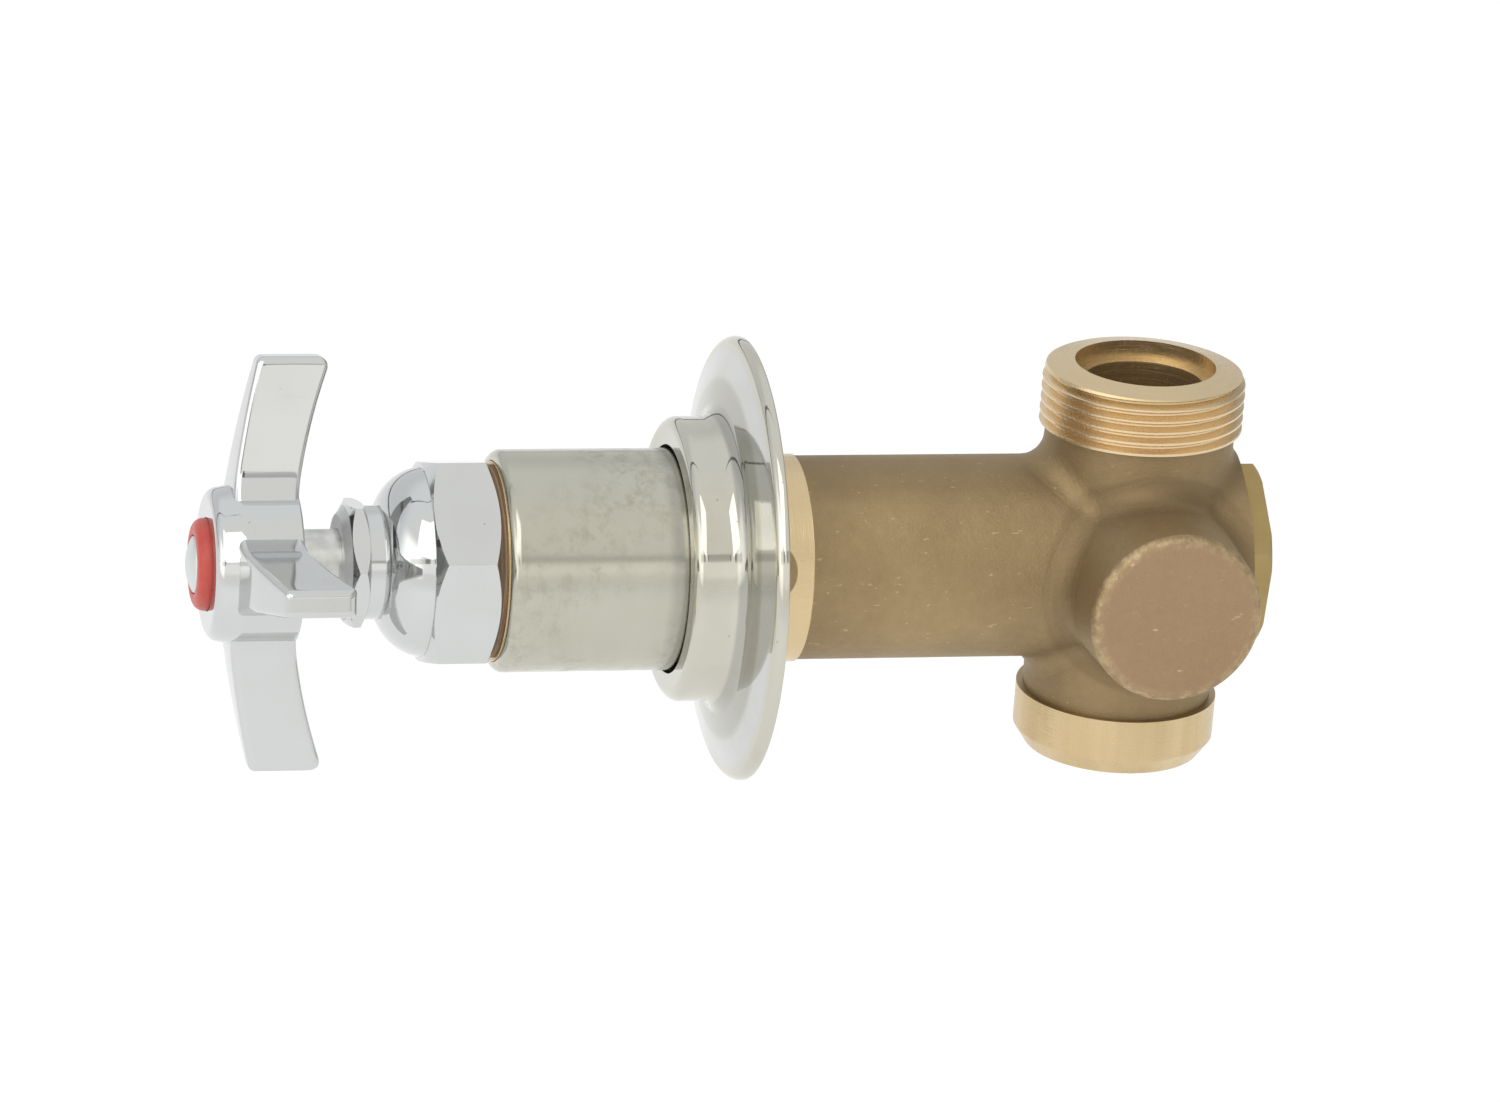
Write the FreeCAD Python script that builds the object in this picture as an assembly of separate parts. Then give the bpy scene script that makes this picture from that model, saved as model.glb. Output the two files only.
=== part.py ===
import FreeCAD, Part
import math
import os

# A concealed diverter valve in millimetres. +X runs along the valve's axis into the wall, +Z runs
# up through the two pipe ports, and the blank boss faces -Y. Every shape is built about the
# valve's axis, with x = 0 at the ports, and is lifted at the end, so that the origin is the centre
# of the lower outlet's mouth. Radii end in _r, and lengths along a bore or bar end in _l.

V = FreeCAD.Vector

# Clearances
screw_gap = 0.05      # between a screwed or pushed-in piece and its hole
running_gap = 0.05    # between a turning or sliding piece and its hole
stop_gap = 0.3        # between moving faces that would meet at a stop
tail_gap = 0.4        # between the bonnet's tail and the barrel's bore

# Cast body
port_reach = 32.7     # valve axis to the mouth of a port
barrel_l = 105.6      # port axis to the barrel's front face
body_rear_l = 16.4    # port axis to the flat rear face
barrel_r = 16.4
barrel_land_r = 16.0  # turned end of the barrel, inside the sleeve's lip
barrel_land_l = 6.0
barrel_bore_r = 12.6
neck_r = 15.3
neck_per_blend = 1.675  # bare neck beside the barrel over the radius of the cast blend
spigot_r = 16.7       # turned length that the sleeve screws on
spigot_rear_x = -56.4
spigot_l = 20.0
boss_face_r = 14.0
boss_root_r = 15.2
boss_reach = 30.4
boss_rim = 1.6

# Side inlet, in a short boss behind the barrel
inlet_face_r = 13.0
inlet_root_r = 14.2
inlet_reach = 26.0
inlet_l = 11.5

# Ports
port_thread_r = 9.6
port_l = 16.5
passage_r = 5.0
passage_x = -4.2
mouth_chamfer = 0.4
port_ring_r = 16.35
port_bevel_l = 2.8
port_ring_l = 6.8
port_face_r = 14.5

# Union thread on the upper outlet
union_r = 16.4
union_face_r = 15.9
union_bevel_l = 1.6
union_pitch = 1.85
union_depth = 1.0
union_root = 0.25
union_l = 10.4
union_cone = 0.8
counterbore_r = 11.4
counterbore_l = 3.0

# Chambers, seat and rear plug
chamber_r = 11.0
chamber_front_x = -24.0
web_front_x = 2.0
web_l = 3.6
rear_chamber_r = 10.5
drop_r = 4.2          # slanted passage from behind the seat to the lower outlet
drop_top = (10.5, -8.0)
drop_foot = (3.4, -24.0)
seat_thread_r = 8.0
seat_flange_r = 9.4
seat_flange_l = 1.0
seat_bore_r = 5.8
seat_lip_r = 7.0
seat_lip_l = 0.6
seat_lip_w = 0.8
plug_thread_r = 11.5
plug_thread_l = 5.0
plug_flats = 28.8
plug_corner_r = 16.5
plug_head_l = 3.4
plug_chamfer_l = 1.1
plug_chamfer_w = 1.3
plug_core_r = 8.2
plug_turn = 10.0
plug_ring_wire = 1.5

# Bonnet, packing and packing nut
gasket_l = 0.9
gasket_r = 15.4
bonnet_flats = 31.75
bonnet_hex_l = 10.7
bonnet_turn = 11.4
bonnet_thread_r = 13.4
bonnet_thread_l = 11.0
bonnet_tail_l = 3.5
bonnet_chamfer = 1.0
dome_r = 15.2
dome_nose_r = 9.6
dome_l = 6.7
dome_bulge = 1.15
nose_r = 8.1
nose_l = 3.8
stuffing_r = 7.0
stuffing_l = 8.0
bonnet_web_l = 3.0
packing_washer_l = 1.0
packing_count = 3
packing_ring_l = 1.9
nut_flats = 19.05
nut_collar_r = 9.1
nut_collar_l = 2.5
nut_hex_l = 2.9
nut_end_l = 1.1
nut_face_r = 7.75
nut_wall_l = 1.5
nut_turn = 19.1

# Sleeve and wall flange
sleeve_r = 17.8
sleeve_front_gap = 0.2
sleeve_l = 39.1
sleeve_lip_l = 3.0
sleeve_round = 1.6
flange_rear_x = -64.9
rim_r = 35.7
rim_l = 1.8
rim_round = 1.6
flange_face_l = 2.5   # how far the face rises from the rim to the collar
flange_foot_round = 3.0
collar_r = 22.9
collar_l = 7.8
collar_round = 2.0
collar_bore_r = 18.3
flange_wall = 1.2
grip_ring_wire = 1.45
grip_ring_x = 3.2     # behind the collar's front face

# Spindle and its thread
lead = 2.54
turns = 1.75
journal_r = 5.4
lead_thread_r = 7.0
lead_thread_l = 20.0
rod_r = 5.0
spline_r = 4.4
spline_root_r = 3.9
spline_count = 16
screw_r = 2.0
screw_hole_l = 9.0
rod_chamfer = 0.6
guide_l = 8.0
guide_hole_r = 2.6
guide_hole_ring_r = 8.8
guide_holes = 4

# Disc holder, on the rear end of the spindle
shut_gap = 0.2
washer_r = 7.6
washer_l = 3.2
cup_rim_l = 2.4
cup_wall = 1.1
holder_floor_l = 3.0
socket_l = 6.0
socket_wall = 2.0
stud_r = 2.0
stud_nut_flats = 6.4
stud_nut_l = 2.2
stud_over = 0.4       # stud standing out of its nut
snap_wire = 1.1
snap_from_mouth = 3.0
snap_gap_angle = 40.0

# Handle, with its screw and index
closed_gap = 2.555    # packing nut to handle when the valve is shut
hub_r = 12.8
hub_l = 13.9
hub_cone_l = 4.3
hub_face_r = 11.9
hub_round = 1.8
handle_turn = -9.5
arm_tip_r = 33.4
arm_tip_width = 4.2
arm_root_width = 10.0
arm_root_l = 10.5     # arm's depth along the axis at the hub
arm_tip_l = 11.9      # and at its tip
arm_lean = 5.4        # how far the tip's rear edge lies behind the hub
arm_front_bow = 0.3   # how far each edge bows forward of a straight line
arm_rear_bow = 0.6
arm_blend = 13.0
arm_rear_round = 2.4
arm_edge = 1.0
screw_well_r = 5.8
screw_well_l = 6.8
screw_head_r = 4.4
screw_head_l = 2.6
screw_l = 11.0
screw_slot = 1.2
screw_head_round = 0.8
screw_slack = 0.2     # between the screw and its washer
screw_washer_r = 5.3
screw_washer_l = 0.8
journal_seat_l = 1.8
index_r = 7.35
index_bore_r = 4.7
index_seat_l = 1.6
index_l = 3.7
index_round = 1.7
button_r = 4.5
button_l = 4.8
button_crown = 1.2

# Places that follow from the sizes
port_ring_top = port_reach - port_bevel_l - port_ring_l
union_foot = port_reach - union_l
cast_blend = (port_ring_top - barrel_r) / neck_per_blend
travel = lead * turns
seat_face_x = web_front_x - seat_flange_l - seat_lip_l
web_rear_x = web_front_x + web_l
washer_rear_x = seat_face_x - shut_gap - travel
cup_floor_x = washer_rear_x - washer_l
socket_floor_x = cup_floor_x - holder_floor_l
socket_mouth_x = socket_floor_x - socket_l
guide_front_x = chamber_front_x - guide_l
bonnet_rear_x = -barrel_l - gasket_l
bonnet_hex_x = bonnet_rear_x - bonnet_hex_l
nut_rear_x = bonnet_hex_x - dome_l
nose_x = nut_rear_x - nose_l
nut_front_x = nut_rear_x - nut_collar_l - nut_hex_l - nut_end_l
stuffing_floor_x = nose_x + stuffing_l
back_seat_x = stuffing_floor_x + bonnet_web_l
hub_rear_x = nut_front_x - closed_gap - travel
hub_front_x = hub_rear_x - hub_l
well_floor_x = hub_front_x + screw_well_l
journal_front_x = hub_rear_x - journal_seat_l
thread_front_x = back_seat_x + stop_gap
thread_rear_x = thread_front_x + lead_thread_l
rim_face_x = flange_rear_x - rim_l
flange_foot_x = rim_face_x - flange_face_l
collar_front_x = flange_foot_x - collar_l
land_rear_x = -barrel_l + barrel_land_l
sleeve_front_x = -barrel_l + sleeve_front_gap
sleeve_rear_x = sleeve_front_x + sleeve_l


def turned(corners):
    """A solid of revolution about the valve's axis, from its (x, radius) corners."""
    points = [V(x, 0, r) for x, r in corners]
    face = Part.Face(Part.makePolygon(points + points[:1]))
    return face.revolve(V(0, 0, 0), V(1, 0, 0), 360)


def bar(radius, start, end):
    """A round bar along the valve's axis."""
    return Part.makeCylinder(radius, end - start, V(start, 0, 0), V(1, 0, 0))


def tube(outer_r, inner_r, start, end):
    return bar(outer_r, start, end).cut(bar(inner_r, start, end))


def bowed(start, end, bow):
    """An arc between two (x, radius) points that bows towards the front at its middle."""
    chord = V(end[0] - start[0], 0, end[1] - start[1])
    square = V(-abs(chord.z), 0, chord.x if chord.z > 0 else -chord.x).normalize()
    middle = V((start[0] + end[0]) / 2, 0, (start[1] + end[1]) / 2) + square * bow
    return Part.Arc(V(start[0], 0, start[1]), middle, V(end[0], 0, end[1])).toShape()


def straight(corners):
    """The straight edges along a row of (x, radius) corners."""
    points = [V(x, 0, r) for x, r in corners]
    return [Part.makeLine(a, b) for a, b in zip(points, points[1:])]


def spun(edges):
    """A solid of revolution from the edges of its closed section."""
    face = Part.Face(Part.Wire(Part.__sortEdges__(edges)))
    return face.revolve(V(0, 0, 0), V(1, 0, 0), 360)


def prism(points, start, end):
    """A prism along the axis whose section is a closed list of (y, z) corners."""
    corners = [V(start, y, z) for y, z in points]
    face = Part.Face(Part.makePolygon(corners + corners[:1]))
    return face.extrude(V(end - start, 0, 0))


def polar(radius, degrees):
    """The (y, z) of a point at an angle from +Z, positive towards -Y."""
    angle = math.radians(degrees)
    return (-radius * math.sin(angle), radius * math.cos(angle))


def hexagon(flats, start, end, turn):
    corner_r = flats / math.sqrt(3)
    return prism([polar(corner_r, turn + 60 * k) for k in range(6)], start, end)


def nut_blank(flats, start, end, turn):
    """A hexagon whose corners are turned off at both ends by a 30 degree chamfer."""
    corner_r = flats / math.sqrt(3)
    flat_r = 0.99 * flats / 2
    drop = (corner_r - flat_r) * math.tan(math.radians(30))
    cone = turned([(start, 0), (start, flat_r), (start + drop, corner_r),
                   (end - drop, corner_r), (end, flat_r), (end, 0)])
    return hexagon(flats, start, end, turn).common(cone)


def ring(centre_r, wire, x):
    """A round-section ring about the axis."""
    return Part.makeTorus(centre_r, wire / 2, V(x, 0, 0), V(1, 0, 0))


def circles(shape, x, radius):
    """The circular edges about the axis at one place."""
    found = []
    for edge in shape.Edges:
        curve = edge.Curve
        if not isinstance(curve, Part.Circle):
            continue
        at_x = abs(curve.Center.x - x) < 0.001 and abs(curve.Axis.x) > 0.999
        if at_x and abs(curve.Radius - radius) < 0.001:
            found.append(edge)
    return found


def rounded(shape, places):
    """Round the edges at each (x, radius, size of the rounding)."""
    for x, radius, size in places:
        shape = shape.makeFillet(size, circles(shape, x, radius))
    return shape


def save(name, shape):
    """Lift a finished piece from the valve's axis to its height and write it."""
    lifted = shape.copy()
    lifted.translate(V(0, 0, port_reach))
    lifted.exportStep(os.path.join("parts", name + ".step"))


def upright(radius, low, high, x=0.0):
    """A round bar along Z."""
    return Part.makeCylinder(radius, high - low, V(x, 0, low))


def side_boss(root_r, face_r, direction):
    """A tapering boss on the side of the barrel, with a rounded rim."""
    boss = Part.makeCone(root_r, face_r, direction.Length, V(0, 0, 0), direction)
    rim = [e for e in boss.Edges if (e.CenterOfMass - direction).Length < 0.001]
    return boss.makeFillet(boss_rim, rim)


def cast_tee():
    """Barrel, necks and bosses with cast blends. The rear is faced off after blending."""
    spare = body_rear_l + 2 * cast_blend
    barrel = bar(barrel_r, spigot_rear_x, body_rear_l + spare)
    up = upright(neck_r, 0, union_foot)
    down = upright(neck_r, -port_ring_top, 0)
    near = side_boss(boss_root_r, boss_face_r, V(0, -boss_reach, 0))
    far = side_boss(inlet_root_r, inlet_face_r, V(0, inlet_reach, 0))
    tee = barrel.fuse([up, down, near, far]).removeSplitter()
    meets = [e for e in tee.Edges if not isinstance(e.Curve, (Part.Circle, Part.Line))]
    tee = tee.makeFillet(cast_blend, meets)
    waste = Part.makeBox(2 * spare, 4 * port_reach, 4 * port_reach,
                         V(body_rear_l, -2 * port_reach, -2 * port_reach))
    return tee.cut(waste)


def union_thread_groove():
    """The helical groove of the union thread, to be cut from its turned blank."""
    start = union_foot - union_pitch
    height = port_reach + union_pitch - start
    root_r = union_r - union_depth
    over = 0.2
    flank = union_depth * math.tan(math.radians(30))
    half_root = union_root / 2
    half_top = half_root + flank * (1 + over / union_depth)
    corners = [V(root_r, 0, start - half_root), V(union_r + over, 0, start - half_top),
               V(union_r + over, 0, start + half_top), V(root_r, 0, start + half_root)]
    section = Part.makePolygon(corners + corners[:1])
    helix = Part.makeLongHelix(union_pitch, height, union_r)
    helix.translate(V(0, 0, start))
    groove = Part.Wire(helix.Edges).makePipeShell([section], True, True)
    if groove.Volume < 0:
        groove.reverse()
    return groove


def union_blank():
    """The threaded end of the upper neck, before its bore."""
    edge_z = port_reach - union_cone
    bevel_z = edge_z - union_bevel_l
    collar = upright(union_r, union_foot, bevel_z)
    bevel = Part.makeCone(union_r, union_face_r, union_bevel_l, V(0, 0, bevel_z))
    face = Part.makeCone(union_face_r, counterbore_r, union_cone, V(0, 0, edge_z))
    return collar.fuse([bevel, face]).removeSplitter().cut(union_thread_groove())


def lower_ring():
    """The turned ring and chamfer at the end of the lower neck."""
    bevel_z = port_bevel_l - port_reach
    bevel = Part.makeCone(port_face_r, port_ring_r, port_bevel_l, V(0, 0, -port_reach))
    return upright(port_ring_r, bevel_z, bevel_z + port_ring_l).fuse(bevel)


def port_bore(direction, reach, depth):
    """A threaded hole with its mouth's chamfer, from a mouth at some reach along a direction."""
    hole = Part.makeCylinder(port_thread_r, depth, direction * (reach - depth), direction)
    chamfer = Part.makeCone(port_thread_r, port_thread_r + mouth_chamfer, mouth_chamfer,
                            direction * (reach - mouth_chamfer), direction)
    return hole.fuse(chamfer)


def passage(direction, floor):
    """The passage from the front chamber through the floor of a port."""
    return Part.makeCylinder(passage_r, floor + 1, V(passage_x, 0, 0), direction)


def drop_passage():
    top = V(drop_top[0], 0, drop_top[1])
    foot = V(drop_foot[0], 0, drop_foot[1])
    return Part.makeCylinder(drop_r, (top - foot).Length, foot, top - foot)


def valve_body():
    up, down, far = V(0, 0, 1), V(0, 0, -1), V(0, 1, 0)
    land = bar(barrel_land_r, -barrel_l, land_rear_x)
    front_barrel = bar(barrel_r, land_rear_x, spigot_rear_x - spigot_l)
    spigot = bar(spigot_r, spigot_rear_x - spigot_l, spigot_rear_x)
    solid = cast_tee()
    for addition in (land, front_barrel, spigot, lower_ring(), union_blank()):
        solid = solid.fuse(addition)
    upper_floor = port_reach - port_l
    upper_bore = upright(port_thread_r, upper_floor, port_reach)
    counterbore = upright(counterbore_r, port_reach - counterbore_l, port_reach + 1)
    plug_seat_x = body_rear_l - plug_thread_l
    bores = [bar(barrel_bore_r, -barrel_l, chamber_front_x),
             bar(bonnet_thread_r + screw_gap, -barrel_l, bonnet_rear_x + bonnet_thread_l + 1),
             bar(chamber_r, chamber_front_x, web_front_x),
             bar(seat_thread_r + screw_gap, web_front_x, web_rear_x),
             bar(rear_chamber_r, web_rear_x, plug_seat_x),
             bar(plug_thread_r + screw_gap, plug_seat_x, body_rear_l),
             bar(plug_thread_r + plug_ring_wire, body_rear_l - plug_ring_wire, body_rear_l),
             upper_bore, counterbore, port_bore(down, port_reach, port_l),
             port_bore(far, inlet_reach, inlet_l), passage(up, upper_floor),
             passage(far, inlet_reach - inlet_l), drop_passage()]
    for bore in bores:
        solid = solid.cut(bore)
    return solid


def rear_plug():
    rear_x = body_rear_l + plug_head_l
    head = hexagon(plug_flats, body_rear_l, rear_x, plug_turn)
    head = head.common(turned([(body_rear_l, 0), (body_rear_l, plug_corner_r),
                               (rear_x - plug_chamfer_l, plug_corner_r),
                               (rear_x, plug_corner_r - plug_chamfer_w), (rear_x, 0)]))
    shank = bar(plug_thread_r, body_rear_l - plug_thread_l, body_rear_l)
    core = bar(plug_core_r, body_rear_l - plug_thread_l, body_rear_l + 1)
    return head.fuse(shank).cut(core).removeSplitter()


def plug_o_ring():
    space = plug_ring_wire - 0.04
    return ring(plug_thread_r + plug_ring_wire / 2, space, body_rear_l - plug_ring_wire / 2)


def seat_ring():
    flange_x = web_front_x - seat_flange_l
    lip_half = seat_lip_w / 2
    profile = [(web_rear_x, seat_bore_r), (flange_x, seat_bore_r),
               (flange_x, seat_lip_r - 2 * lip_half), (seat_face_x, seat_lip_r - lip_half),
               (seat_face_x, seat_lip_r + lip_half), (flange_x, seat_lip_r + 2 * lip_half),
               (flange_x, seat_flange_r), (web_front_x, seat_flange_r),
               (web_front_x, seat_thread_r), (web_rear_x, seat_thread_r)]
    return turned(profile)


def bonnet():
    """Hexagon, domed nose and the tail that screws into the barrel."""
    blank = nut_blank(bonnet_flats, bonnet_hex_x, bonnet_rear_x, bonnet_turn)
    foot = (bonnet_hex_x, dome_r)
    top = (nut_rear_x, dome_nose_r)
    dome = spun([bowed(foot, top, dome_bulge)]
                + straight([top, (nut_rear_x, 0), (bonnet_hex_x, 0), foot]))
    nose = bar(nose_r, nose_x, nut_rear_x)
    thread_end_x = bonnet_rear_x + bonnet_thread_l
    tail_x = thread_end_x + bonnet_tail_l
    tail_r = barrel_bore_r - tail_gap
    thread = bar(bonnet_thread_r, bonnet_rear_x, thread_end_x)
    tail = turned([(thread_end_x, 0), (thread_end_x, tail_r), (tail_x - bonnet_chamfer, tail_r),
                   (tail_x, tail_r - bonnet_chamfer), (tail_x, 0)])
    solid = blank.fuse([dome, nose, thread, tail])
    for hole in (bar(stuffing_r, nose_x, stuffing_floor_x),
                 bar(journal_r + running_gap, stuffing_floor_x, back_seat_x),
                 bar(lead_thread_r + running_gap, back_seat_x, tail_x)):
        solid = solid.cut(hole)
    return solid.removeSplitter()


def bonnet_gasket():
    return tube(gasket_r, bonnet_thread_r + screw_gap, bonnet_rear_x, -barrel_l)


def packing_washer():
    return tube(stuffing_r - running_gap, journal_r + running_gap,
                stuffing_floor_x - packing_washer_l, stuffing_floor_x)


def packing_rings():
    """Square packing, one solid a ring, stacked on the washer."""
    rings = []
    end = stuffing_floor_x - packing_washer_l
    for k in range(packing_count):
        start = end - packing_ring_l
        body = tube(stuffing_r - running_gap, journal_r + running_gap, start, end)
        rings.append(body)
        end = start
    return Part.makeCompound(rings)


def gland_ring():
    end = stuffing_floor_x - packing_washer_l - packing_count * packing_ring_l
    start = nut_front_x + nut_wall_l
    return tube(stuffing_r - running_gap, journal_r + running_gap, start, end)


def packing_nut():
    hex_rear_x = nut_rear_x - nut_collar_l
    hex_front_x = hex_rear_x - nut_hex_l
    blank = nut_blank(nut_flats, hex_front_x, hex_rear_x, nut_turn)
    collar = bar(nut_collar_r, hex_rear_x, nut_rear_x)
    end = turned([(nut_front_x, 0), (nut_front_x, nut_face_r), (hex_front_x, nut_collar_r),
                  (hex_front_x, 0)])
    wall_x = nut_front_x + nut_wall_l
    solid = blank.fuse([collar, end])
    solid = solid.cut(bar(nose_r + screw_gap, wall_x, nut_rear_x))
    return solid.cut(bar(journal_r + running_gap, nut_front_x, wall_x)).removeSplitter()


def sleeve():
    lip_x = sleeve_front_x + sleeve_lip_l
    solid = bar(sleeve_r, sleeve_front_x, sleeve_rear_x)
    solid = rounded(solid, [(sleeve_front_x, sleeve_r, sleeve_round)])
    solid = solid.cut(bar(barrel_land_r + running_gap, sleeve_front_x, lip_x))
    return solid.cut(bar(spigot_r + screw_gap, lip_x, sleeve_rear_x))


def escutcheon():
    """The wall flange in one piece with its collar, hollow behind."""
    outer = [(collar_front_x, collar_bore_r), (collar_front_x, collar_r),
             (flange_foot_x, collar_r), (rim_face_x, rim_r), (flange_rear_x, rim_r)]
    cave_r = rim_r - flange_wall
    inner = [(flange_rear_x, cave_r), (rim_face_x + flange_wall, cave_r),
             (flange_foot_x + flange_wall, collar_r), (flange_foot_x + flange_wall, collar_bore_r)]
    solid = rounded(turned(outer + inner), [(collar_front_x, collar_r, collar_round),
                                            (flange_foot_x, collar_r, flange_foot_round),
                                            (rim_face_x, rim_r, rim_round)])
    groove_x = collar_front_x + grip_ring_x
    half = grip_ring_wire / 2 + 2 * running_gap
    groove_r = sleeve_r + 2 * running_gap + grip_ring_wire
    return solid.cut(tube(groove_r, sleeve_r, groove_x - half, groove_x + half))


def flange_o_ring():
    centre_r = sleeve_r + running_gap + grip_ring_wire / 2
    return ring(centre_r, grip_ring_wire, collar_front_x + grip_ring_x)


def spline(outer_r, root_r, start, end):
    """A bar with small V-shaped teeth all round."""
    step = 360 / spline_count
    points = []
    for k in range(spline_count):
        points.append(polar(outer_r, handle_turn + k * step))
        points.append(polar(root_r, handle_turn + (k + 0.5) * step))
    return prism(points, start, end)


def snap_x():
    return socket_mouth_x + snap_from_mouth


def spindle():
    front_x = well_floor_x + stop_gap
    teeth = spline(spline_r, spline_root_r, front_x, journal_front_x)
    rear_x = socket_floor_x - stop_gap
    bar_shape = turned([(journal_front_x, 0), (journal_front_x, journal_r),
                        (thread_front_x, journal_r), (thread_front_x, lead_thread_r),
                        (thread_rear_x, lead_thread_r), (thread_rear_x, rod_r),
                        (rear_x - rod_chamfer, rod_r), (rear_x, rod_r - rod_chamfer),
                        (rear_x, 0)])
    hole = bar(screw_r + screw_gap, front_x, front_x + screw_hole_l)
    groove = ring(rod_r + running_gap, snap_wire + 4 * running_gap, snap_x())
    return teeth.fuse(bar_shape).cut(hole).cut(groove).removeSplitter()


def spindle_guide():
    """The bush that carries the long spindle close to the seat, with holes for the water."""
    solid = tube(barrel_bore_r - screw_gap, rod_r + running_gap, guide_front_x, chamber_front_x)
    for k in range(guide_holes):
        y, z = polar(guide_hole_ring_r, 360 * (k + 0.5) / guide_holes)
        hole = Part.makeCylinder(guide_hole_r, guide_l, V(guide_front_x, y, z), V(1, 0, 0))
        solid = solid.cut(hole)
    return solid


def disc_holder():
    """The cup for the washer, its stud, and the socket that swivels on the spindle."""
    cup_r = washer_r + running_gap + cup_wall
    socket_r = rod_r + running_gap + socket_wall
    stud_end_x = washer_rear_x + stud_nut_l + stud_over
    solid = turned([(socket_mouth_x, 0), (socket_mouth_x, socket_r), (socket_floor_x, socket_r),
                    (socket_floor_x + 0.8, cup_r), (cup_floor_x + cup_rim_l, cup_r),
                    (cup_floor_x + cup_rim_l, washer_r + running_gap),
                    (cup_floor_x, washer_r + running_gap), (cup_floor_x, stud_r),
                    (stud_end_x, stud_r), (stud_end_x, 0)])
    solid = solid.cut(bar(rod_r + running_gap, socket_mouth_x, socket_floor_x))
    return solid.cut(ring(rod_r + running_gap, snap_wire + 2 * running_gap, snap_x()))


def snap_ring():
    """The split ring that keeps the disc holder on the spindle."""
    whole = ring(rod_r + running_gap, snap_wire, snap_x())
    reach = 2 * rod_r
    half_gap = snap_gap_angle / 2
    wedge = prism([(0, 0), polar(reach, -half_gap), polar(reach, half_gap)],
                  snap_x() - snap_wire, snap_x() + snap_wire)
    return whole.cut(wedge)


def seat_washer():
    return tube(washer_r, stud_r + running_gap, cup_floor_x, washer_rear_x)


def washer_nut():
    blank = nut_blank(stud_nut_flats, washer_rear_x, washer_rear_x + stud_nut_l, 0)
    return blank.cut(bar(stud_r + screw_gap, washer_rear_x, washer_rear_x + stud_nut_l))


def arm_cross():
    """The four arms in plan: straight tapering sides with a round hollow between neighbours."""
    half_tip = arm_tip_width / 2
    taper = (arm_root_width - arm_tip_width) / 2 / (arm_tip_r - hub_r)
    reach = arm_tip_r + 2
    half_reach = half_tip - 2 * taper
    inner = (half_tip + arm_tip_r * taper) / (1 + taper)
    corners = []
    for k in range(4):
        turn = handle_turn + 90 * k
        side = math.degrees(math.atan2(half_reach, reach))
        corner_r = math.hypot(half_reach, reach)
        corners.append(polar(corner_r, turn - side))
        corners.append(polar(corner_r, turn + side))
        corners.append(polar(inner * math.sqrt(2), turn + 45))
    cross = prism(corners, hub_front_x, hub_rear_x + 2 * arm_lean)
    hollows = []
    for edge in cross.Edges:
        middle = edge.CenterOfMass
        along_axis = edge.BoundBox.XLength > hub_l
        if along_axis and math.hypot(middle.y, middle.z) < hub_r:
            hollows.append(edge)
    return cross.makeFillet(arm_blend, hollows)


def arm_limits():
    """The turned shape that gives the arms their front and rear edges and their tips."""
    front_root = (hub_rear_x - arm_root_l, hub_r)
    rear_root = (hub_rear_x, hub_r)
    rear_tip = (hub_rear_x + arm_lean, arm_tip_r)
    front_tip = (rear_tip[0] - arm_tip_l, arm_tip_r)
    limits = spun([bowed(front_root, front_tip, arm_front_bow), bowed(rear_tip, rear_root, arm_rear_bow)]
                  + straight([front_tip, rear_tip])
                  + straight([rear_root, (rear_root[0], 0), (front_root[0], 0), front_root]))
    return rounded(limits, [(rear_tip[0], arm_tip_r, arm_rear_round),
                            (front_tip[0], arm_tip_r, arm_edge)])


def handle():
    cone_x = hub_front_x + hub_cone_l
    hub = turned([(hub_front_x, 0), (hub_front_x, hub_face_r), (cone_x, hub_r),
                  (hub_rear_x, hub_r), (hub_rear_x, 0)])
    hub = rounded(hub, [(hub_front_x, hub_face_r, hub_round)])
    solid = arm_cross().common(arm_limits()).fuse(hub)
    well = bar(screw_well_r, hub_front_x, well_floor_x)
    seat = bar(index_r + running_gap, hub_front_x, hub_front_x + index_seat_l)
    teeth = spline(spline_r + screw_gap, spline_root_r + screw_gap, well_floor_x, journal_front_x)
    journal = bar(journal_r + screw_gap, journal_front_x, hub_rear_x + arm_lean)
    for hole in (well, seat, teeth, journal):
        solid = solid.cut(hole)
    return solid.removeSplitter()


def handle_screw():
    head_front_x = well_floor_x - screw_washer_l - screw_head_l
    head = rounded(bar(screw_head_r, head_front_x, well_floor_x - screw_washer_l),
                   [(head_front_x, screw_head_r, screw_head_round)])
    shank = bar(screw_r, well_floor_x - screw_washer_l, head_front_x + screw_l)
    slot = Part.makeBox(screw_slot, 2 * screw_head_r, screw_slot,
                        V(head_front_x, -screw_head_r, -screw_slot / 2))
    return head.fuse(shank).cut(slot)


def screw_washer():
    return tube(screw_washer_r, screw_r + screw_slack, well_floor_x - screw_washer_l, well_floor_x)


def index_rear_x():
    return hub_front_x + index_seat_l


def index_ring():
    front_x = index_rear_x() - index_l
    solid = tube(index_r, index_bore_r, front_x, index_rear_x())
    return rounded(solid, [(front_x, index_r, index_round)])


def index_button():
    """A plug that fills the ring's bore, with a low crowned face."""
    rear_x = index_rear_x()
    apex_x = rear_x - button_l
    edge = (apex_x + button_crown, button_r)
    crown_r = (button_r ** 2 + button_crown ** 2) / (2 * button_crown)
    half_way = math.asin(button_r / crown_r) / 2
    middle = V(apex_x + crown_r * (1 - math.cos(half_way)), 0, crown_r * math.sin(half_way))
    crown = Part.Arc(V(edge[0], 0, edge[1]), middle, V(apex_x, 0, 0)).toShape()
    return spun([crown] + straight([(apex_x, 0), (rear_x, 0), (rear_x, button_r), edge]))


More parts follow.
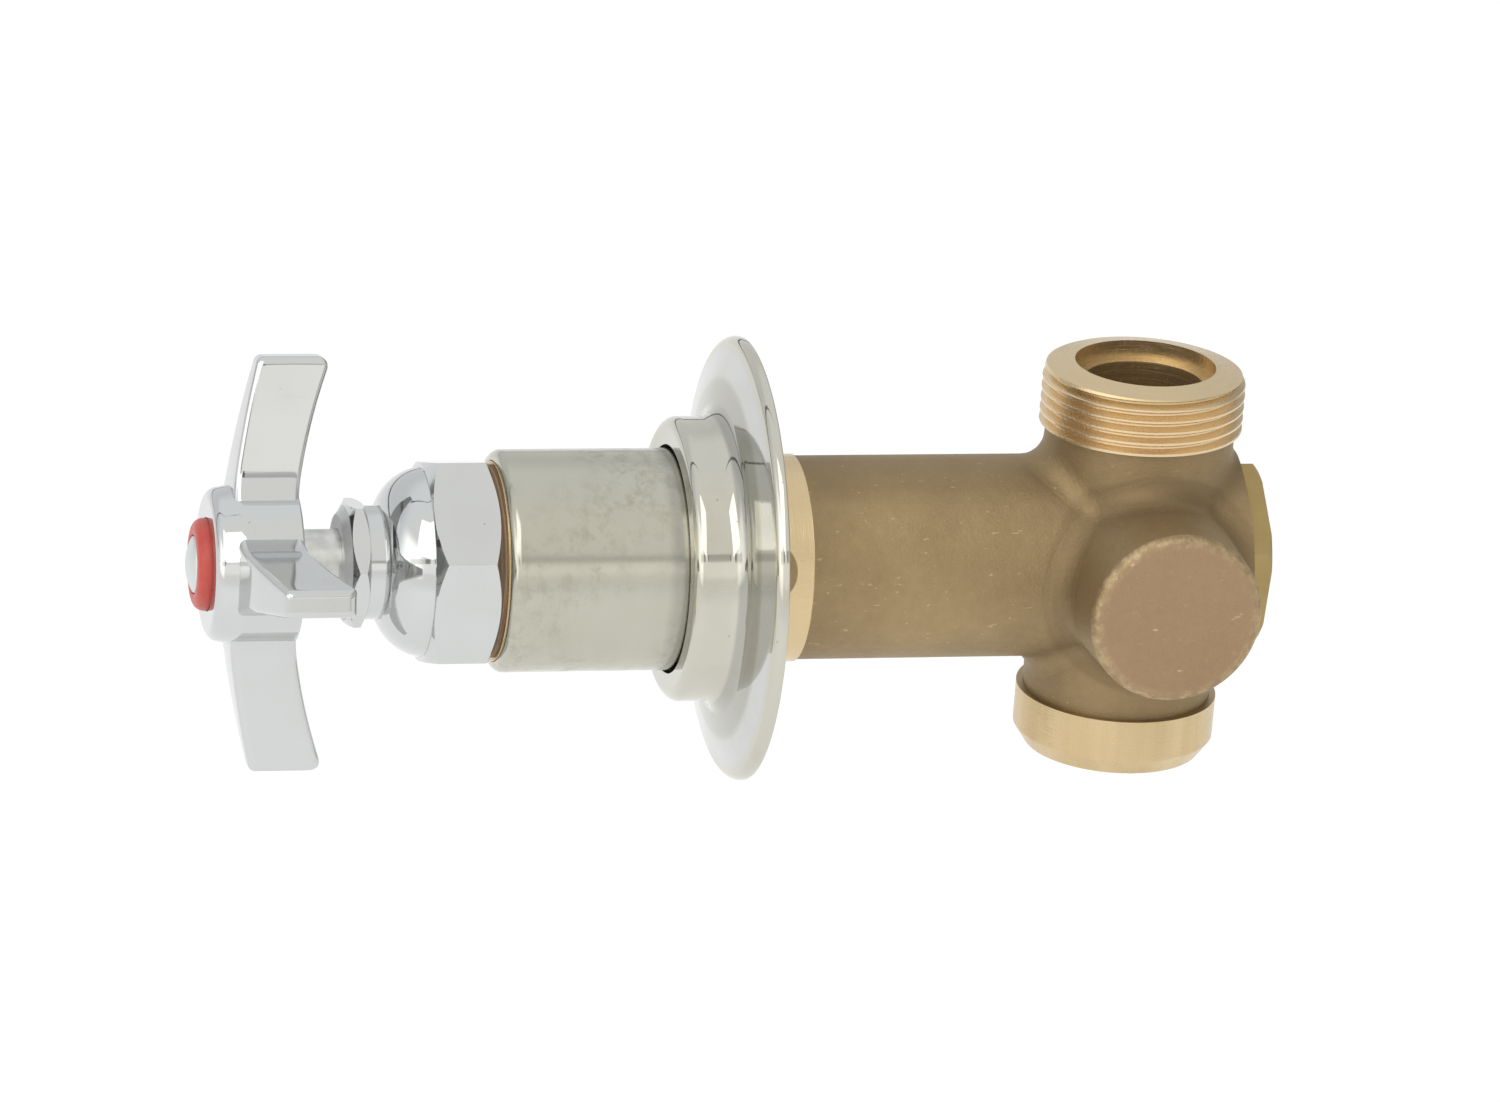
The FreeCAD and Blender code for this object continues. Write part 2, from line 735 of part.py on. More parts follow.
pieces = {
    "valve_body": valve_body,
    "rear_plug": rear_plug,
    "plug_o_ring": plug_o_ring,
    "seat_ring": seat_ring,
    "bonnet": bonnet,
    "bonnet_gasket": bonnet_gasket,
    "packing_washer": packing_washer,
    "packing_rings": packing_rings,
    "gland_ring": gland_ring,
    "packing_nut": packing_nut,
    "spindle_guide": spindle_guide,
    "sleeve": sleeve,
    "escutcheon": escutcheon,
    "flange_o_ring": flange_o_ring,
    "spindle": spindle,
    "disc_holder": disc_holder,
    "snap_ring": snap_ring,
    "seat_washer": seat_washer,
    "washer_nut": washer_nut,
    "handle": handle,
    "handle_screw": handle_screw,
    "screw_washer": screw_washer,
    "index_ring": index_ring,
    "index_button": index_button,
}

os.makedirs("parts", exist_ok=True)
for name, make in pieces.items():
    shape = make()
    save(name, shape)
    print(name, shape.isValid(), len(shape.Solids), round(shape.Volume, 2))
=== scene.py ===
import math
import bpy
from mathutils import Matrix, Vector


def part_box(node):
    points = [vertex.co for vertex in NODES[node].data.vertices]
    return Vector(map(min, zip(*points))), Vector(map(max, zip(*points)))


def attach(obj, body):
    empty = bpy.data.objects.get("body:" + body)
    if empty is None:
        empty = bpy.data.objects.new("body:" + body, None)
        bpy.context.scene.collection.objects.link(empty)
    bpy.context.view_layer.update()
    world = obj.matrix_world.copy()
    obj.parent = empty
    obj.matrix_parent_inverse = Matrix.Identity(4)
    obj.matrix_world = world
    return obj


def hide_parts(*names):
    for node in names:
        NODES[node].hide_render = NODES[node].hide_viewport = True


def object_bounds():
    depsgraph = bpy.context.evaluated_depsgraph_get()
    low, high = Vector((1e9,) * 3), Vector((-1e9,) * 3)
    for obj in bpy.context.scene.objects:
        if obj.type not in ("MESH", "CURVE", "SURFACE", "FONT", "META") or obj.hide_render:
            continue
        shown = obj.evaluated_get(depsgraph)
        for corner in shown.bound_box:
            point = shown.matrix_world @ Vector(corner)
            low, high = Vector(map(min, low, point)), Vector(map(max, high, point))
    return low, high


bl_info = {
    "name": "Concealed diverter valve",
    "version": (1, 0, 0),
    "blender": (4, 5, 0),
    "location": "3D View > Sidebar > Valve",
    "description": "Dresses a wall-through diverter valve and sets it on a plain stage",
    "category": "Object",
}

import bmesh
import bpy
from mathutils import Matrix, Vector

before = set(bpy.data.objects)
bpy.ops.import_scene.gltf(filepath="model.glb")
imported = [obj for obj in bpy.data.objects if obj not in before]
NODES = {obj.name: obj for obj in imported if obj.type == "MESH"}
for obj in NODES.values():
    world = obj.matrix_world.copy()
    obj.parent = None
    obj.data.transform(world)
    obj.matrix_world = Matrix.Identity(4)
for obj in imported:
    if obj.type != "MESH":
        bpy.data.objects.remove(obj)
CAD_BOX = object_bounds()

MM = 0.001


def low(node):
    """The corner of a CAD node's box with the smallest X, Y and Z."""
    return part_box(node)[0]


def high(node):
    """The corner of a CAD node's box with the largest X, Y and Z."""
    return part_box(node)[1]


def round_radius(node):
    """Half the width of a piece that is round about the valve's axis."""
    return (high(node).y - low(node).y) / 2


AXIS_Z = (low("spindle").z + high("spindle").z) / 2
FLANGE_FRONT = low("escutcheon").x
NUT_FRONT = low("packing_nut").x

# Fits inside, in metres
STUFFING_R = 0.007         # stuffing box in the bonnet
STUFFING_L = 0.008
LEAD_R = 0.00705           # bonnet's bore behind the stuffing box
NOSE_R = 0.0081            # bonnet's nose, under the packing nut
BONNET_THREAD_R = 0.0134
BONNET_THREAD_L = 0.011
BONNET_TAIL_R = 0.0122
NUT_BORE_R = 0.00815
NUT_WALL = 0.0015
SPINDLE_HOLE_R = 0.00545   # through the packing nut and the handle's hub

# Cutting and closing
HEX_CHAMFER = 0.99         # chamfered radius, as a share of half the flats
BAR_SPARE = 0.002          # how far a cutting bar reaches past its piece
MERGE = 1e-7               # points nearer than this become one

# Where the looks change, in metres
DISC_FRONT = FLANGE_FRONT + 0.0090   # flat disc of the flange
DISC_EDGE_R = 0.0335
FOOT_FRONT = FLANGE_FRONT + 0.0068   # hollow round the collar's foot
FOOT_EDGE_R = 0.0290
NUT_FACE_R = 0.0092
PATCH_X = -0.0623                    # spot on the spigot that the lathe missed
PATCH_UP = 0.0035
PATCH_HALF = (0.0031, 0.0041)
MOUTH_R = 0.0108                     # threaded mouth of the upper outlet
MOUTH_TURNS = 740                    # turns of its thread in a metre
RELIEF = 0.0002                      # depth of a fine bump

# How far a noise is drawn out along X, Y and Z
EVEN = (1, 1, 1)
ROUND_X = (1, 0.02, 0.02)
ROUND_Z = (0.02, 0.02, 1)
ALONG_X = (0.04, 1, 1)

# Stage, in metres
FLOOR_HALF = 3.0
FLOOR_DROP = 0.25                    # floor under the valve's lowest point
LAMP_AIM_X = -0.06
# Dark slot of the light tent: start and end along X, softness and depth of each part
SLOT_PARTS = ((0.13, 0.50, 0.03, 0.42), (0.05, 0.13, 0.03, 0.92),
              (-0.52, -0.36, 0.04, 0.75), (-0.9, -0.52, 0.04, 0.35))


# ---- sizes and colours
def length(name, millimetres, description):
    """A setting given here in millimetres and kept in metres."""
    return bpy.props.FloatProperty(name=name, default=millimetres * MM, description=description,
                                   subtype="DISTANCE", unit="LENGTH", precision=5)


def angle(name, degrees, description):
    """A setting given here in degrees and kept in radians."""
    return bpy.props.FloatProperty(name=name, default=math.radians(degrees),
                                   description=description, subtype="ANGLE", unit="ROTATION")


def colour(name, default, description):
    """A colour setting."""
    return bpy.props.FloatVectorProperty(name=name, default=default, size=3, min=0, max=1,
                                         description=description, subtype="COLOR")


class ValveSizes(bpy.types.PropertyGroup):
    """Sizes of the dressed pieces, in metres."""

    flange_collar_r: length("Collar radius", 22.9, "Outside of the wall flange's collar")
    flange_collar_l: length("Collar length", 7.8, "Collar in front of the flange's face")
    flange_rim_l: length("Rim thickness", 1.8, "Straight edge of the flange's rim")
    flange_bore_r: length("Collar bore", 18.3, "Hole that the sleeve passes through")
    flange_wall: length("Flange wall", 1.2, "Thickness of the flange's sheet")
    rim_round: length("Rim rounding", 1.6, "Rounding of the flange's outer edge")
    collar_round: length("Collar rounding", 2.0, "Rounding of the collar's front edge")
    foot_round: length("Collar foot", 3.0, "Hollow where the face meets the collar")
    sleeve_round: length("Sleeve rounding", 1.6, "Rounding of the sleeve's front edge")
    sleeve_bore_r: length("Sleeve bore", 16.75, "Inside of the sleeve")
    sleeve_lip_r: length("Sleeve lip", 16.05, "Hole in the sleeve's front lip")
    sleeve_lip_l: length("Lip length", 3.0, "Length of the sleeve's front lip")
    bonnet_hex_l: length("Bonnet hexagon", 10.7, "Length of the bonnet's hexagon")
    bonnet_flats: length("Bonnet flats", 31.75, "Across the flats of the bonnet")
    dome_r: length("Dome foot", 15.2, "Radius of the dome at the hexagon")
    dome_nose_r: length("Dome top", 9.6, "Radius of the dome at the packing nut")
    dome_l: length("Dome length", 6.7, "Length of the bonnet's dome")
    dome_bulge: length("Dome bulge", 1.15, "How far the dome swells from a straight cone")
    nut_flats: length("Nut flats", 19.05, "Across the flats of the packing nut")
    nut_collar_r: length("Nut collar", 9.1, "Radius of the packing nut's collar")
    nut_collar_l: length("Nut collar length", 2.5, "Collar behind the nut's hexagon")
    nut_hex_l: length("Nut hexagon", 2.9, "Length of the nut's hexagon")
    nut_face_r: length("Nut face", 7.75, "Radius of the nut's front face")
    hub_r: length("Hub radius", 12.8, "Handle's hub behind its cone")
    hub_face_r: length("Hub face", 11.9, "Handle's hub at its front")
    hub_l: length("Hub length", 13.9, "Handle's hub along the axis")
    hub_cone_l: length("Hub cone", 4.3, "Tapering part of the hub")
    hub_round: length("Hub rounding", 1.8, "Rounding of the hub's front edge")
    arm_tip_r: length("Arm reach", 33.4, "Axis to the tip of an arm")
    arm_tip_width: length("Arm tip width", 4.2, "Width of an arm at its tip")
    arm_root_width: length("Arm root width", 10.0, "Width of an arm at the hub")
    arm_root_l: length("Arm root depth", 10.5, "Depth of an arm at the hub")
    arm_tip_l: length("Arm tip depth", 11.9, "Depth of an arm at its tip")
    arm_lean: length("Arm lean", 5.4, "How far the tips lean towards the wall")
    arm_front_bow: length("Front bow", 0.3, "Bow of the arm's front edge")
    arm_rear_bow: length("Rear bow", 0.6, "Bow of the arm's rear edge")
    arm_blend: length("Arm blend", 13.0, "Hollow between two arms, in plan")
    arm_edge: length("Arm edge", 1.0, "Rounding along the arms' edges")
    arm_dish: length("Arm dish", 0.15, "Hollow of the arms' flat sides")
    arm_tip_round: length("Arm tip rounding", 2.4, "Rounding of the tip's rear corner")
    index_round: length("Index rounding", 1.7, "Rounding of the red ring's edge")
    index_bore_r: length("Index bore", 4.7, "Hole in the red ring")
    button_crown: length("Button crown", 1.2, "Height of the button's domed face")
    lower_ring_l: length("Lower ring", 9.6, "Turned ring at the lower mouth")
    union_l: length("Union thread", 10.4, "Threaded end of the upper outlet")
    union_root_r: length("Union thread root", 15.4, "Radius at the union thread's bottom")
    union_bevel_l: length("Union bevel", 2.4, "Plain end of the union thread")
    spigot_end: length("Spigot end", 56.4, "Upper outlet's line to the turned spigot's end")
    steps: bpy.props.IntProperty(name="Round steps", default=144, min=24,
                                 description="Faces round a turned piece")


class ValveAngles(bpy.types.PropertyGroup):
    """How the hexagons and the handle stand, as turns from straight up towards the boss."""

    bonnet: angle("Bonnet", 11.4, "Turn of the bonnet's hexagon")
    nut: angle("Packing nut", 19.1, "Turn of the packing nut's hexagon")
    handle: angle("Handle", -9.5, "Turn of the handle's arms")


class ValveColours(bpy.types.PropertyGroup):
    """Base colours of the finishes, in linear light."""

    chrome: colour("Chrome", (0.595, 0.603, 0.60), "Polished plating")
    chrome_dull: colour("Dull chrome", (0.52, 0.52, 0.50), "Smears on the plating")
    flange: colour("Flange", (0.56, 0.545, 0.475), "Warmer plating of the wall flange")
    sleeve: colour("Sleeve", (0.525, 0.513, 0.44), "Satin plating of the sleeve")
    sleeve_stain: colour("Sleeve stain", (0.33, 0.31, 0.235), "Handling stains on the sleeve")
    stem: colour("Stem", (0.68, 0.68, 0.66), "Satin bar of the spindle")
    casting: colour("Casting", (0.40, 0.29, 0.15), "Sand-cast bronze")
    # Darker mottle of the casting, and also the colour of its painted shade.
    casting_mottle_and_shade: colour("Dark casting", (0.23, 0.16, 0.08), "Tarnished hollows of the casting")
    casting_pink: colour("Boss face", (0.37, 0.245, 0.145), "Pinker face of the blank boss")
    turned: colour("Turned brass", (0.70, 0.55, 0.33), "Fresh machined brass")
    thread: colour("Thread", (0.78, 0.61, 0.39), "Brass of the union thread")
    plug: colour("Plug", (0.45, 0.33, 0.14), "Brass of the rear plug")
    red: colour("Index ring", (0.40, 0.038, 0.026), "Red plastic of the index ring")
    button: colour("Button", (0.66, 0.69, 0.69), "Silver face of the index button")
    fibre: colour("Gasket", (0.09, 0.05, 0.03), "Brown fibre gasket")
    rubber: colour("Rubber", (0.015, 0.015, 0.016), "Washers and O-rings")
    floor: colour("Floor", (0.90, 0.90, 0.90), "Pale studio floor")


class ValveCamera(bpy.types.PropertyGroup):
    """The photograph's viewpoint. The aim is the tee's centre."""

    azimuth: angle("Azimuth", -14.02, "Turn of the view about Z from looking along +Y")
    elevation: angle("Elevation", 20.16, "How far the view looks down")
    roll: angle("Roll", 4.25, "Turn of the view about its own line")
    distance: length("Distance", 1190.9, "Camera to the tee's centre")
    across: length("Aim across", 61.42, "Aim right of the picture's middle")
    above: length("Aim above", -0.37, "Aim above the picture's middle")
    lens: bpy.props.FloatProperty(name="Lens", default=175.9, unit="CAMERA",
                                  description="Focal length on a 36 mm sensor")


# ---- shader maths
def maths(operation, swapped=False):
    """An arithmetic method that adds one maths node."""
    def method(self, other):
        pair = (other, self) if swapped else (self, other)
        return self.maker.node("Math", {"operation": operation}, *pair)
    return method


class Wire:
    """A node's output that takes part in ordinary arithmetic."""

    def __init__(self, maker, socket):
        self.maker = maker
        self.socket = socket

    __add__ = __radd__ = maths("ADD")
    __sub__, __rsub__ = maths("SUBTRACT"), maths("SUBTRACT", swapped=True)
    __mul__ = __rmul__ = maths("MULTIPLY")
    __truediv__ = maths("DIVIDE")
    __pow__ = maths("POWER")

    def clip(self):
        """The same value, kept between 0 and 1."""
        return self.maker.node("Clamp", {}, self)


class Nodes:
    """A node tree that nodes are added to, one call a node."""

    def __init__(self, tree):
        self.tree = tree

    def node(self, kind, settings, *values, output=None, **named):
        """Add a node: its settings first, then its sockets, by order or by name."""
        made = self.tree.nodes.new("ShaderNode" + kind)
        for key, value in settings.items():
            setattr(made, key, value)
        for index, value in enumerate(values):
            self.feed(made.inputs[index], value)
        for key, value in named.items():
            self.feed(made.inputs[key.replace("_", " ")], value)
        return Wire(self, made.outputs[output or 0])

    def feed(self, socket, value):
        """Link a wire to a socket, or set the socket to a plain value."""
        if isinstance(value, Wire):
            self.tree.links.new(value.socket, socket)
        elif socket.type == "RGBA":
            socket.default_value = (*value, 1.0)
        else:
            socket.default_value = value

    def split(self, vector):
        """The X, Y and Z of a vector."""
        node = self.node("SeparateXYZ", {}, vector).socket.node
        return [Wire(self, node.outputs[axis]) for axis in "XYZ"]

    def ramp(self, value, *stops):
        """A value read off a grey ramp between two (position, tone) stops."""
        made = self.node("ValToRGB", {}, value)
        for element, (position, tone) in zip(made.socket.node.color_ramp.elements, stops):
            element.position = position
            element.color = (tone, tone, tone, 1.0)
        return made

    def blend(self, factor, first, second):
        """A colour that goes from the first to the second with the factor."""
        made = self.tree.nodes.new("ShaderNodeMix")
        made.data_type = "RGBA"
        for index, value in ((0, factor), (6, first), (7, second)):
            self.feed(made.inputs[index], value)
        return Wire(self, made.outputs[2])

    def step(self, value, edge, width):
        """0 below the edge and 1 above it, over a width."""
        return self.node("MapRange", {"interpolation_type": "SMOOTHSTEP"}, value,
                         edge - width / 2, edge + width / 2, 0.0, 1.0)

    def until(self, value, edge, width):
        """1 below the edge and 0 above it, over a width."""
        return 1 - self.step(value, edge, width)

    def band(self, value, start, end, width):
        """1 between two edges and 0 outside them."""
        return self.step(value, start, width) * self.until(value, end, width)


class Finish(Nodes):
    """One material. Its surface is a single principled shader."""

    def __init__(self, name, **constants):
        self.material = bpy.data.materials.new(name)
        self.material.use_nodes = True
        super().__init__(self.material.node_tree)
        self.shader = self.tree.nodes["Principled BSDF"]
        for socket, value in constants.items():
            self.set(socket.replace("_", " "), value)
        self.place = self.node("TexCoord", {}, output="Object")
        self.x, self.y, self.z = self.split(self.place)

    def set(self, socket, value):
        """Give one socket of the surface a wire or a plain value."""
        self.feed(self.shader.inputs[socket], value)

    def noise(self, scale, detail, roughness, stretch=EVEN, shift=0.0):
        """A noise of that many cells a metre, stretched along X, Y or Z."""
        moved = self.node("Mapping", {}, self.place, Location=(shift, shift, shift),
                          Scale=tuple(scale * s for s in stretch))
        return self.node("TexNoise", {}, Vector=moved, Scale=1.0, Detail=detail,
                         Roughness=roughness)

    def spots(self, start, full, *noise):
        """A noise that is 0 below one level and 1 above another."""
        return self.ramp(self.noise(*noise), (start, 0.0), (full, 1.0))

    def radius(self):
        """Distance from the valve's axis."""
        up = self.z - AXIS_Z
        return (self.y * self.y + up * up) ** 0.5

    def within(self, radius, width):
        """1 near the valve's axis and 0 beyond a radius."""
        return self.until(self.radius(), radius, width)

    def port_radius(self):
        """Distance from the line of the upper and lower outlets."""
        return (self.x * self.x + self.y * self.y) ** 0.5

    def surface(self, base, roughness, height, strength, distance=RELIEF):
        """Set the colour, gloss and relief, and hand over the material."""
        self.set("Base Color", base)
        self.set("Roughness", roughness)
        self.set("Normal", self.node("Bump", {}, Strength=strength, Distance=distance,
                                     Height=height))
        return self.material


def polished_chrome(name, bright, dull_tone):
    """Mirror plating with a faint ripple, smears, small pits and a few hairlines, a painted shade
    ring round the collar's foot and a painted neutral reflection tint on the flange's disc.
    """
    f = Finish(name)
    smear = f.noise(55, 4, 0.6)
    wipe = f.noise(320, 3, 0.6, (1, 0.25, 1), 3.1)
    pit = f.spots(0.74, 0.78, 1300, 2, 0.5, EVEN, 11.0)
    hair = f.noise(2600, 2, 0.5, ALONG_X, 7.0)
    dull = f.ramp(smear, (0.46, 0.0), (0.78, 1.0))
    disc = f.step(f.x, DISC_FRONT, 0.001) * f.within(DISC_EDGE_R, 0.001)
    foot = f.step(f.x, FOOT_FRONT, 0.0006) * f.within(FOOT_EDGE_R, 0.0016)
    nut_face = f.band(f.x, NUT_FRONT - 0.0002, NUT_FRONT + 0.0026, 0.0003)
    nut_face = nut_face * f.within(NUT_FACE_R, 0.0003)
    # Painted reflection tint: the flange's flat disc is toned neutral grey to stand in for its
    # cooler grazing reflection on the warm plating.
    tone = f.blend(disc, bright, (0.57, 0.575, 0.57))
    # Painted shade: a dark ring in the hollow round the collar's foot stands in for the dark
    # reflections there.
    tone = f.blend(foot * 0.45, tone, (0.24, 0.245, 0.24))
    tone = f.blend(dull * 0.35, tone, dull_tone)
    tone = f.blend(pit * 0.5, tone, (0.16, 0.15, 0.12))
    f.set("Metallic", 0.92 - nut_face * 0.5)
    gloss = 0.035 + dull * 0.05 + wipe * 0.025 + pit * 0.2 + nut_face * 0.25
    return f.surface(tone, gloss, smear * 0.6 + hair * 0.12, 0.05, 0.0004)


def satin_sleeve(tones):
    """Brushed plating with lathe marks round it, handling stains, small pits and a painted shade
    band before the collar.
    """
    f = Finish("satin_sleeve", Metallic=1.0)
    lathe = f.noise(5200, 2, 0.5, ROUND_X)
    broad = f.noise(150, 3, 0.6, (1, 0.6, 0.6), 2.0)
    stain = f.spots(0.46, 0.66, 420, 5, 0.7, (1, 0.8, 0.8), 5.0)
    patch = f.spots(0.40, 0.62, 48, 3, 0.5, EVEN, 1.7)
    speck = f.spots(0.64, 0.72, 1100, 3, 0.6, EVEN, 9.0)
    worn = stain * patch * 0.5 + speck * patch * 0.35 + broad * 0.3
    tone = f.blend(worn.clip(), tones.sleeve, tones.sleeve_stain)
    # Painted shade: a darker band on the sleeve just before the collar stands in for the collar's
    # dark reflection.
    dark = f.band(f.x, FLANGE_FRONT - 0.0026, FLANGE_FRONT + 0.001, 0.002)
    tone = f.blend(dark * 0.35, tone, (0.20, 0.20, 0.19))
    gloss = 0.12 + broad * 0.08 + stain * 0.06 + lathe * 0.03
    return f.surface(tone, gloss, lathe * 0.3 + speck * -0.5, 0.06)


def satin_stem(tones):
    """Turned bar with fine rings and light scratches along it."""
    f = Finish("stem_plating", Metallic=1.0)
    rings = f.noise(4200, 2, 0.5, ROUND_X)
    along = f.noise(1500, 2, 0.5, (0.05, 1, 1), 4.0)
    worn = f.spots(0.45, 0.75, 160, 4, 0.6, EVEN, 8.0)
    tone = f.blend((worn * 0.5 + rings * 0.2).clip(), tones.stem, (0.36, 0.36, 0.34))
    gloss = 0.22 + worn * 0.14 + rings * 0.08
    return f.surface(tone, gloss, rings + along * 0.5, 0.12)


def cast_colour(f, tones, sand):
    """Mottled casting with painted shade round the boss's foot, on its left wall and along the
    top and underside; pinker and worn on the blank boss's face.
    """
    face_y = low("valve_body").y
    cloud = f.spots(0.36, 0.68, 52, 4, 0.6, EVEN, 4.0)
    bright = f.spots(0.69, 0.73, 1500, 2, 0.5, (0.4, 1, 1), 6.0)
    nick = f.spots(0.72, 0.75, 900, 2, 0.5, (0.3, 1, 0.6), 21.0)
    cast = f.blend(cloud * 0.45 + sand * 0.4, tones.casting, tones.casting_mottle_and_shade)
    cast = f.blend(bright * 0.4, cast, tones.turned)
    up = f.z - AXIS_Z
    boss_r = (f.x * f.x + up * up) ** 0.5
    # Painted shade: darker round the boss's foot, on its left wall, along the top and on the
    # underside.
    foot = f.band(boss_r, 0.0150, 0.0185, 0.0012) * f.until(f.y, -0.009, 0.004)
    left_wall = f.band(boss_r, 0.0134, 0.0170, 0.001) * f.until(f.x, -0.003, 0.012)
    left_wall = left_wall * f.until(f.y, -0.014, 0.004)
    neck = f.step(up, 0.0135, 0.003)
    under = f.until(up, -0.0115, 0.007)
    shade = foot * 0.5 + left_wall * 0.4 + neck * 0.4 + under * 0.35
    cast = f.blend(shade.clip(), cast, tones.casting_mottle_and_shade)
    face = f.until(f.y, face_y + 0.0003, 0.0004)
    cast = f.blend(face * (0.92 - sand * 0.55), cast, tones.casting_pink)
    rim = f.band(f.y, face_y + 0.0002, face_y + 0.0014, 0.0004)
    rim = rim * f.ramp(sand, (0.42, 0.0), (0.6, 1.0))
    edge = face * f.step(boss_r, 0.0122, 0.0010) * f.ramp(sand, (0.44, 0.0), (0.62, 1.0))
    worn = rim * 0.4 + edge * 0.22 + face * nick * 0.5
    return f.blend(worn.clip(), cast, tones.turned)


def bronze_body(tones, s):
    """Sand-cast bronze, with turned brass where a lathe has been and painted highlights on the
    upper mouth's thread crests.
    """
    f = Finish("bronze_body")
    base, top = low("valve_body"), high("valve_body")
    grain = f.noise(2100, 4, 0.65)
    sand = f.noise(620, 5, 0.7, EVEN, 2.0)
    rings = f.noise(6500, 2, 0.5, ROUND_X, 1.0)
    bands = f.noise(6500, 2, 0.5, ROUND_Z, 1.0)
    streak = f.noise(170, 3, 0.5, (1, 1, 0.08), 12.0)

    below = f.until(f.z, base.z + s.lower_ring_l, 0.0002)
    above = f.step(f.z, top.z - s.union_l, 0.0003)
    inlet = f.step(f.y, top.y - 0.0002, 0.0002)
    off_x = (f.x - PATCH_X) / PATCH_HALF[0]
    off_z = (f.z - AXIS_Z - PATCH_UP) / PATCH_HALF[1]
    missed = f.until(off_x * off_x + off_z * off_z, 1.0, 0.12) * f.until(f.y, 0.0, 0.001)
    front = f.until(f.x, -s.spigot_end, 0.0003) * (1 - missed)
    skirt = (below + above + inlet + front).clip()
    threaded = above * f.step(f.port_radius(), s.union_root_r - 0.0004, 0.0004)
    threaded = threaded * f.until(f.z, top.z - s.union_bevel_l, 0.0006)
    bored = above * f.until(f.port_radius(), MOUTH_R, 0.0003)
    # Painted highlight: one bright ring along the crest of each turn of the upper mouth's inner
    # thread.
    part_turn = f.node("Math", {"operation": "FRACT"}, f.z * MOUTH_TURNS)
    crest_highlight = f.ramp(part_turn, (0.0, 1.0), (0.22, 0.0))

    lathe = f.blend(rings * 0.25 + bands * 0.2, tones.turned, (0.52, 0.38, 0.20))
    lathe = f.blend(threaded * 0.85, lathe, tones.thread)
    lathe = f.blend(below * (streak - 0.35).clip() * 1.6, lathe, (0.44, 0.31, 0.14))
    # The painted thread-crest highlight goes on here.
    lathe = f.blend(bored * crest_highlight * 0.7, lathe, (0.95, 0.85, 0.62))
    f.set("Metallic", 0.72 + skirt * 0.2)
    height = (grain * 0.6 + sand * 0.6) * (1 - skirt) + (rings + bands) * skirt * 0.25
    return f.surface(f.blend(skirt, cast_colour(f, tones, sand), lathe),
                     0.46 + sand * 0.12 - skirt * 0.26, height, 0.5, 0.0003)


def plug_brass(tones):
    """Drawn hexagon bar, faintly tarnished."""
    f = Finish("drawn_brass", Metallic=0.85)
    cloud = f.noise(90, 4, 0.6)
    drawn = f.noise(2400, 2, 0.5, ALONG_X, 3.0)
    tone = f.blend(cloud * 0.6 + drawn * 0.2, tones.plug, (0.26, 0.19, 0.08))
    return f.surface(tone, 0.34 + cloud * 0.2, drawn, 0.12)


def turned_brass(tones):
    """Bright lathe-turned brass of the inner parts."""
    f = Finish("lathe_brass", Metallic=1.0)
    rings = f.noise(5200, 2, 0.5, ROUND_X)
    cloud = f.noise(120, 4, 0.6, EVEN, 5.0)
    tone = f.blend(rings * 0.3 + cloud * 0.3, tones.turned, (0.45, 0.32, 0.15))
    return f.surface(tone, 0.22 + cloud * 0.16, rings, 0.12)


def spring_steel():
    """Grey drawn wire and screw steel."""
    f = Finish("spring_steel", Metallic=1.0)
    cloud = f.noise(300, 4, 0.6)
    drawn = f.noise(2500, 2, 0.5, (1, 0.05, 1))
    tone = f.blend(cloud, (0.50, 0.50, 0.50), (0.28, 0.28, 0.29))
    return f.surface(tone, 0.28 + cloud * 0.2, drawn, 0.1)


def red_plastic(tones):
    """Moulded red plastic with a soft shine and faint wear on its edge."""
    f = Finish("moulded_red", Metallic=0.0, IOR=1.5)
    mottle = f.noise(650, 4, 0.6)
    rub = f.spots(0.62, 0.72, 1700, 3, 0.6, EVEN, 4.0)
    tone = f.blend(mottle * 0.4 + rub * 0.2, tones.red, (0.68, 0.13, 0.10))
    return f.surface(tone, 0.30 + mottle * 0.16, mottle + rub * 0.3, 0.12)


def silver_button(tones):
    """Silver-foiled face of the index button."""
    f = Finish("silver_button", Metallic=0.75)
    cloud = f.noise(420, 4, 0.6)
    fine = f.noise(3800, 2, 0.5, (1, 1, 0.06), 2.0)
    tone = f.blend(cloud * 0.35, tones.button, (0.50, 0.52, 0.52))
    return f.surface(tone, 0.26 + cloud * 0.12 + fine * 0.06, cloud + fine * 0.4, 0.08)


def brown_fibre(tones):
    """Pressed fibre whose layers show on the gasket's edge."""
    f = Finish("gasket_fibre", Metallic=0.0)
    strand = f.noise(1500, 5, 0.7, (1, 0.3, 0.3))
    layer = f.spots(0.48, 0.60, 4600, 1, 0.5, (1, 0.01, 0.01), 3.0)
    tone = f.blend(strand, tones.fibre, (0.20, 0.12, 0.08))
    tone = f.blend(layer * 0.7, tone, (0.36, 0.25, 0.13))
    return f.surface(tone, 0.62 + strand * 0.2, strand, 0.5)


def black_rubber(tones):
    """Matt moulded rubber of the seals."""
    f = Finish("moulded_rubber", Metallic=0.0)
    mould = f.noise(1800, 4, 0.6)
    tone = f.blend(mould, tones.rubber, (0.05, 0.05, 0.05))
    return f.surface(tone, 0.5 + mould * 0.2, mould, 0.2)


def packing_fibre():
    """Black plaited packing."""
    f = Finish("packing_fibre", Metallic=0.0)
    plait = f.node("TexWave", {"wave_type": "BANDS", "bands_direction": "DIAGONAL"},
                   Vector=f.place, Scale=450.0, Distortion=2.0, Detail=2.0)
    tone = f.blend(plait, (0.03, 0.03, 0.03), (0.12, 0.12, 0.12))
    return f.surface(tone, 0.55 + plait * 0.2, plait, 0.5, 0.0003)


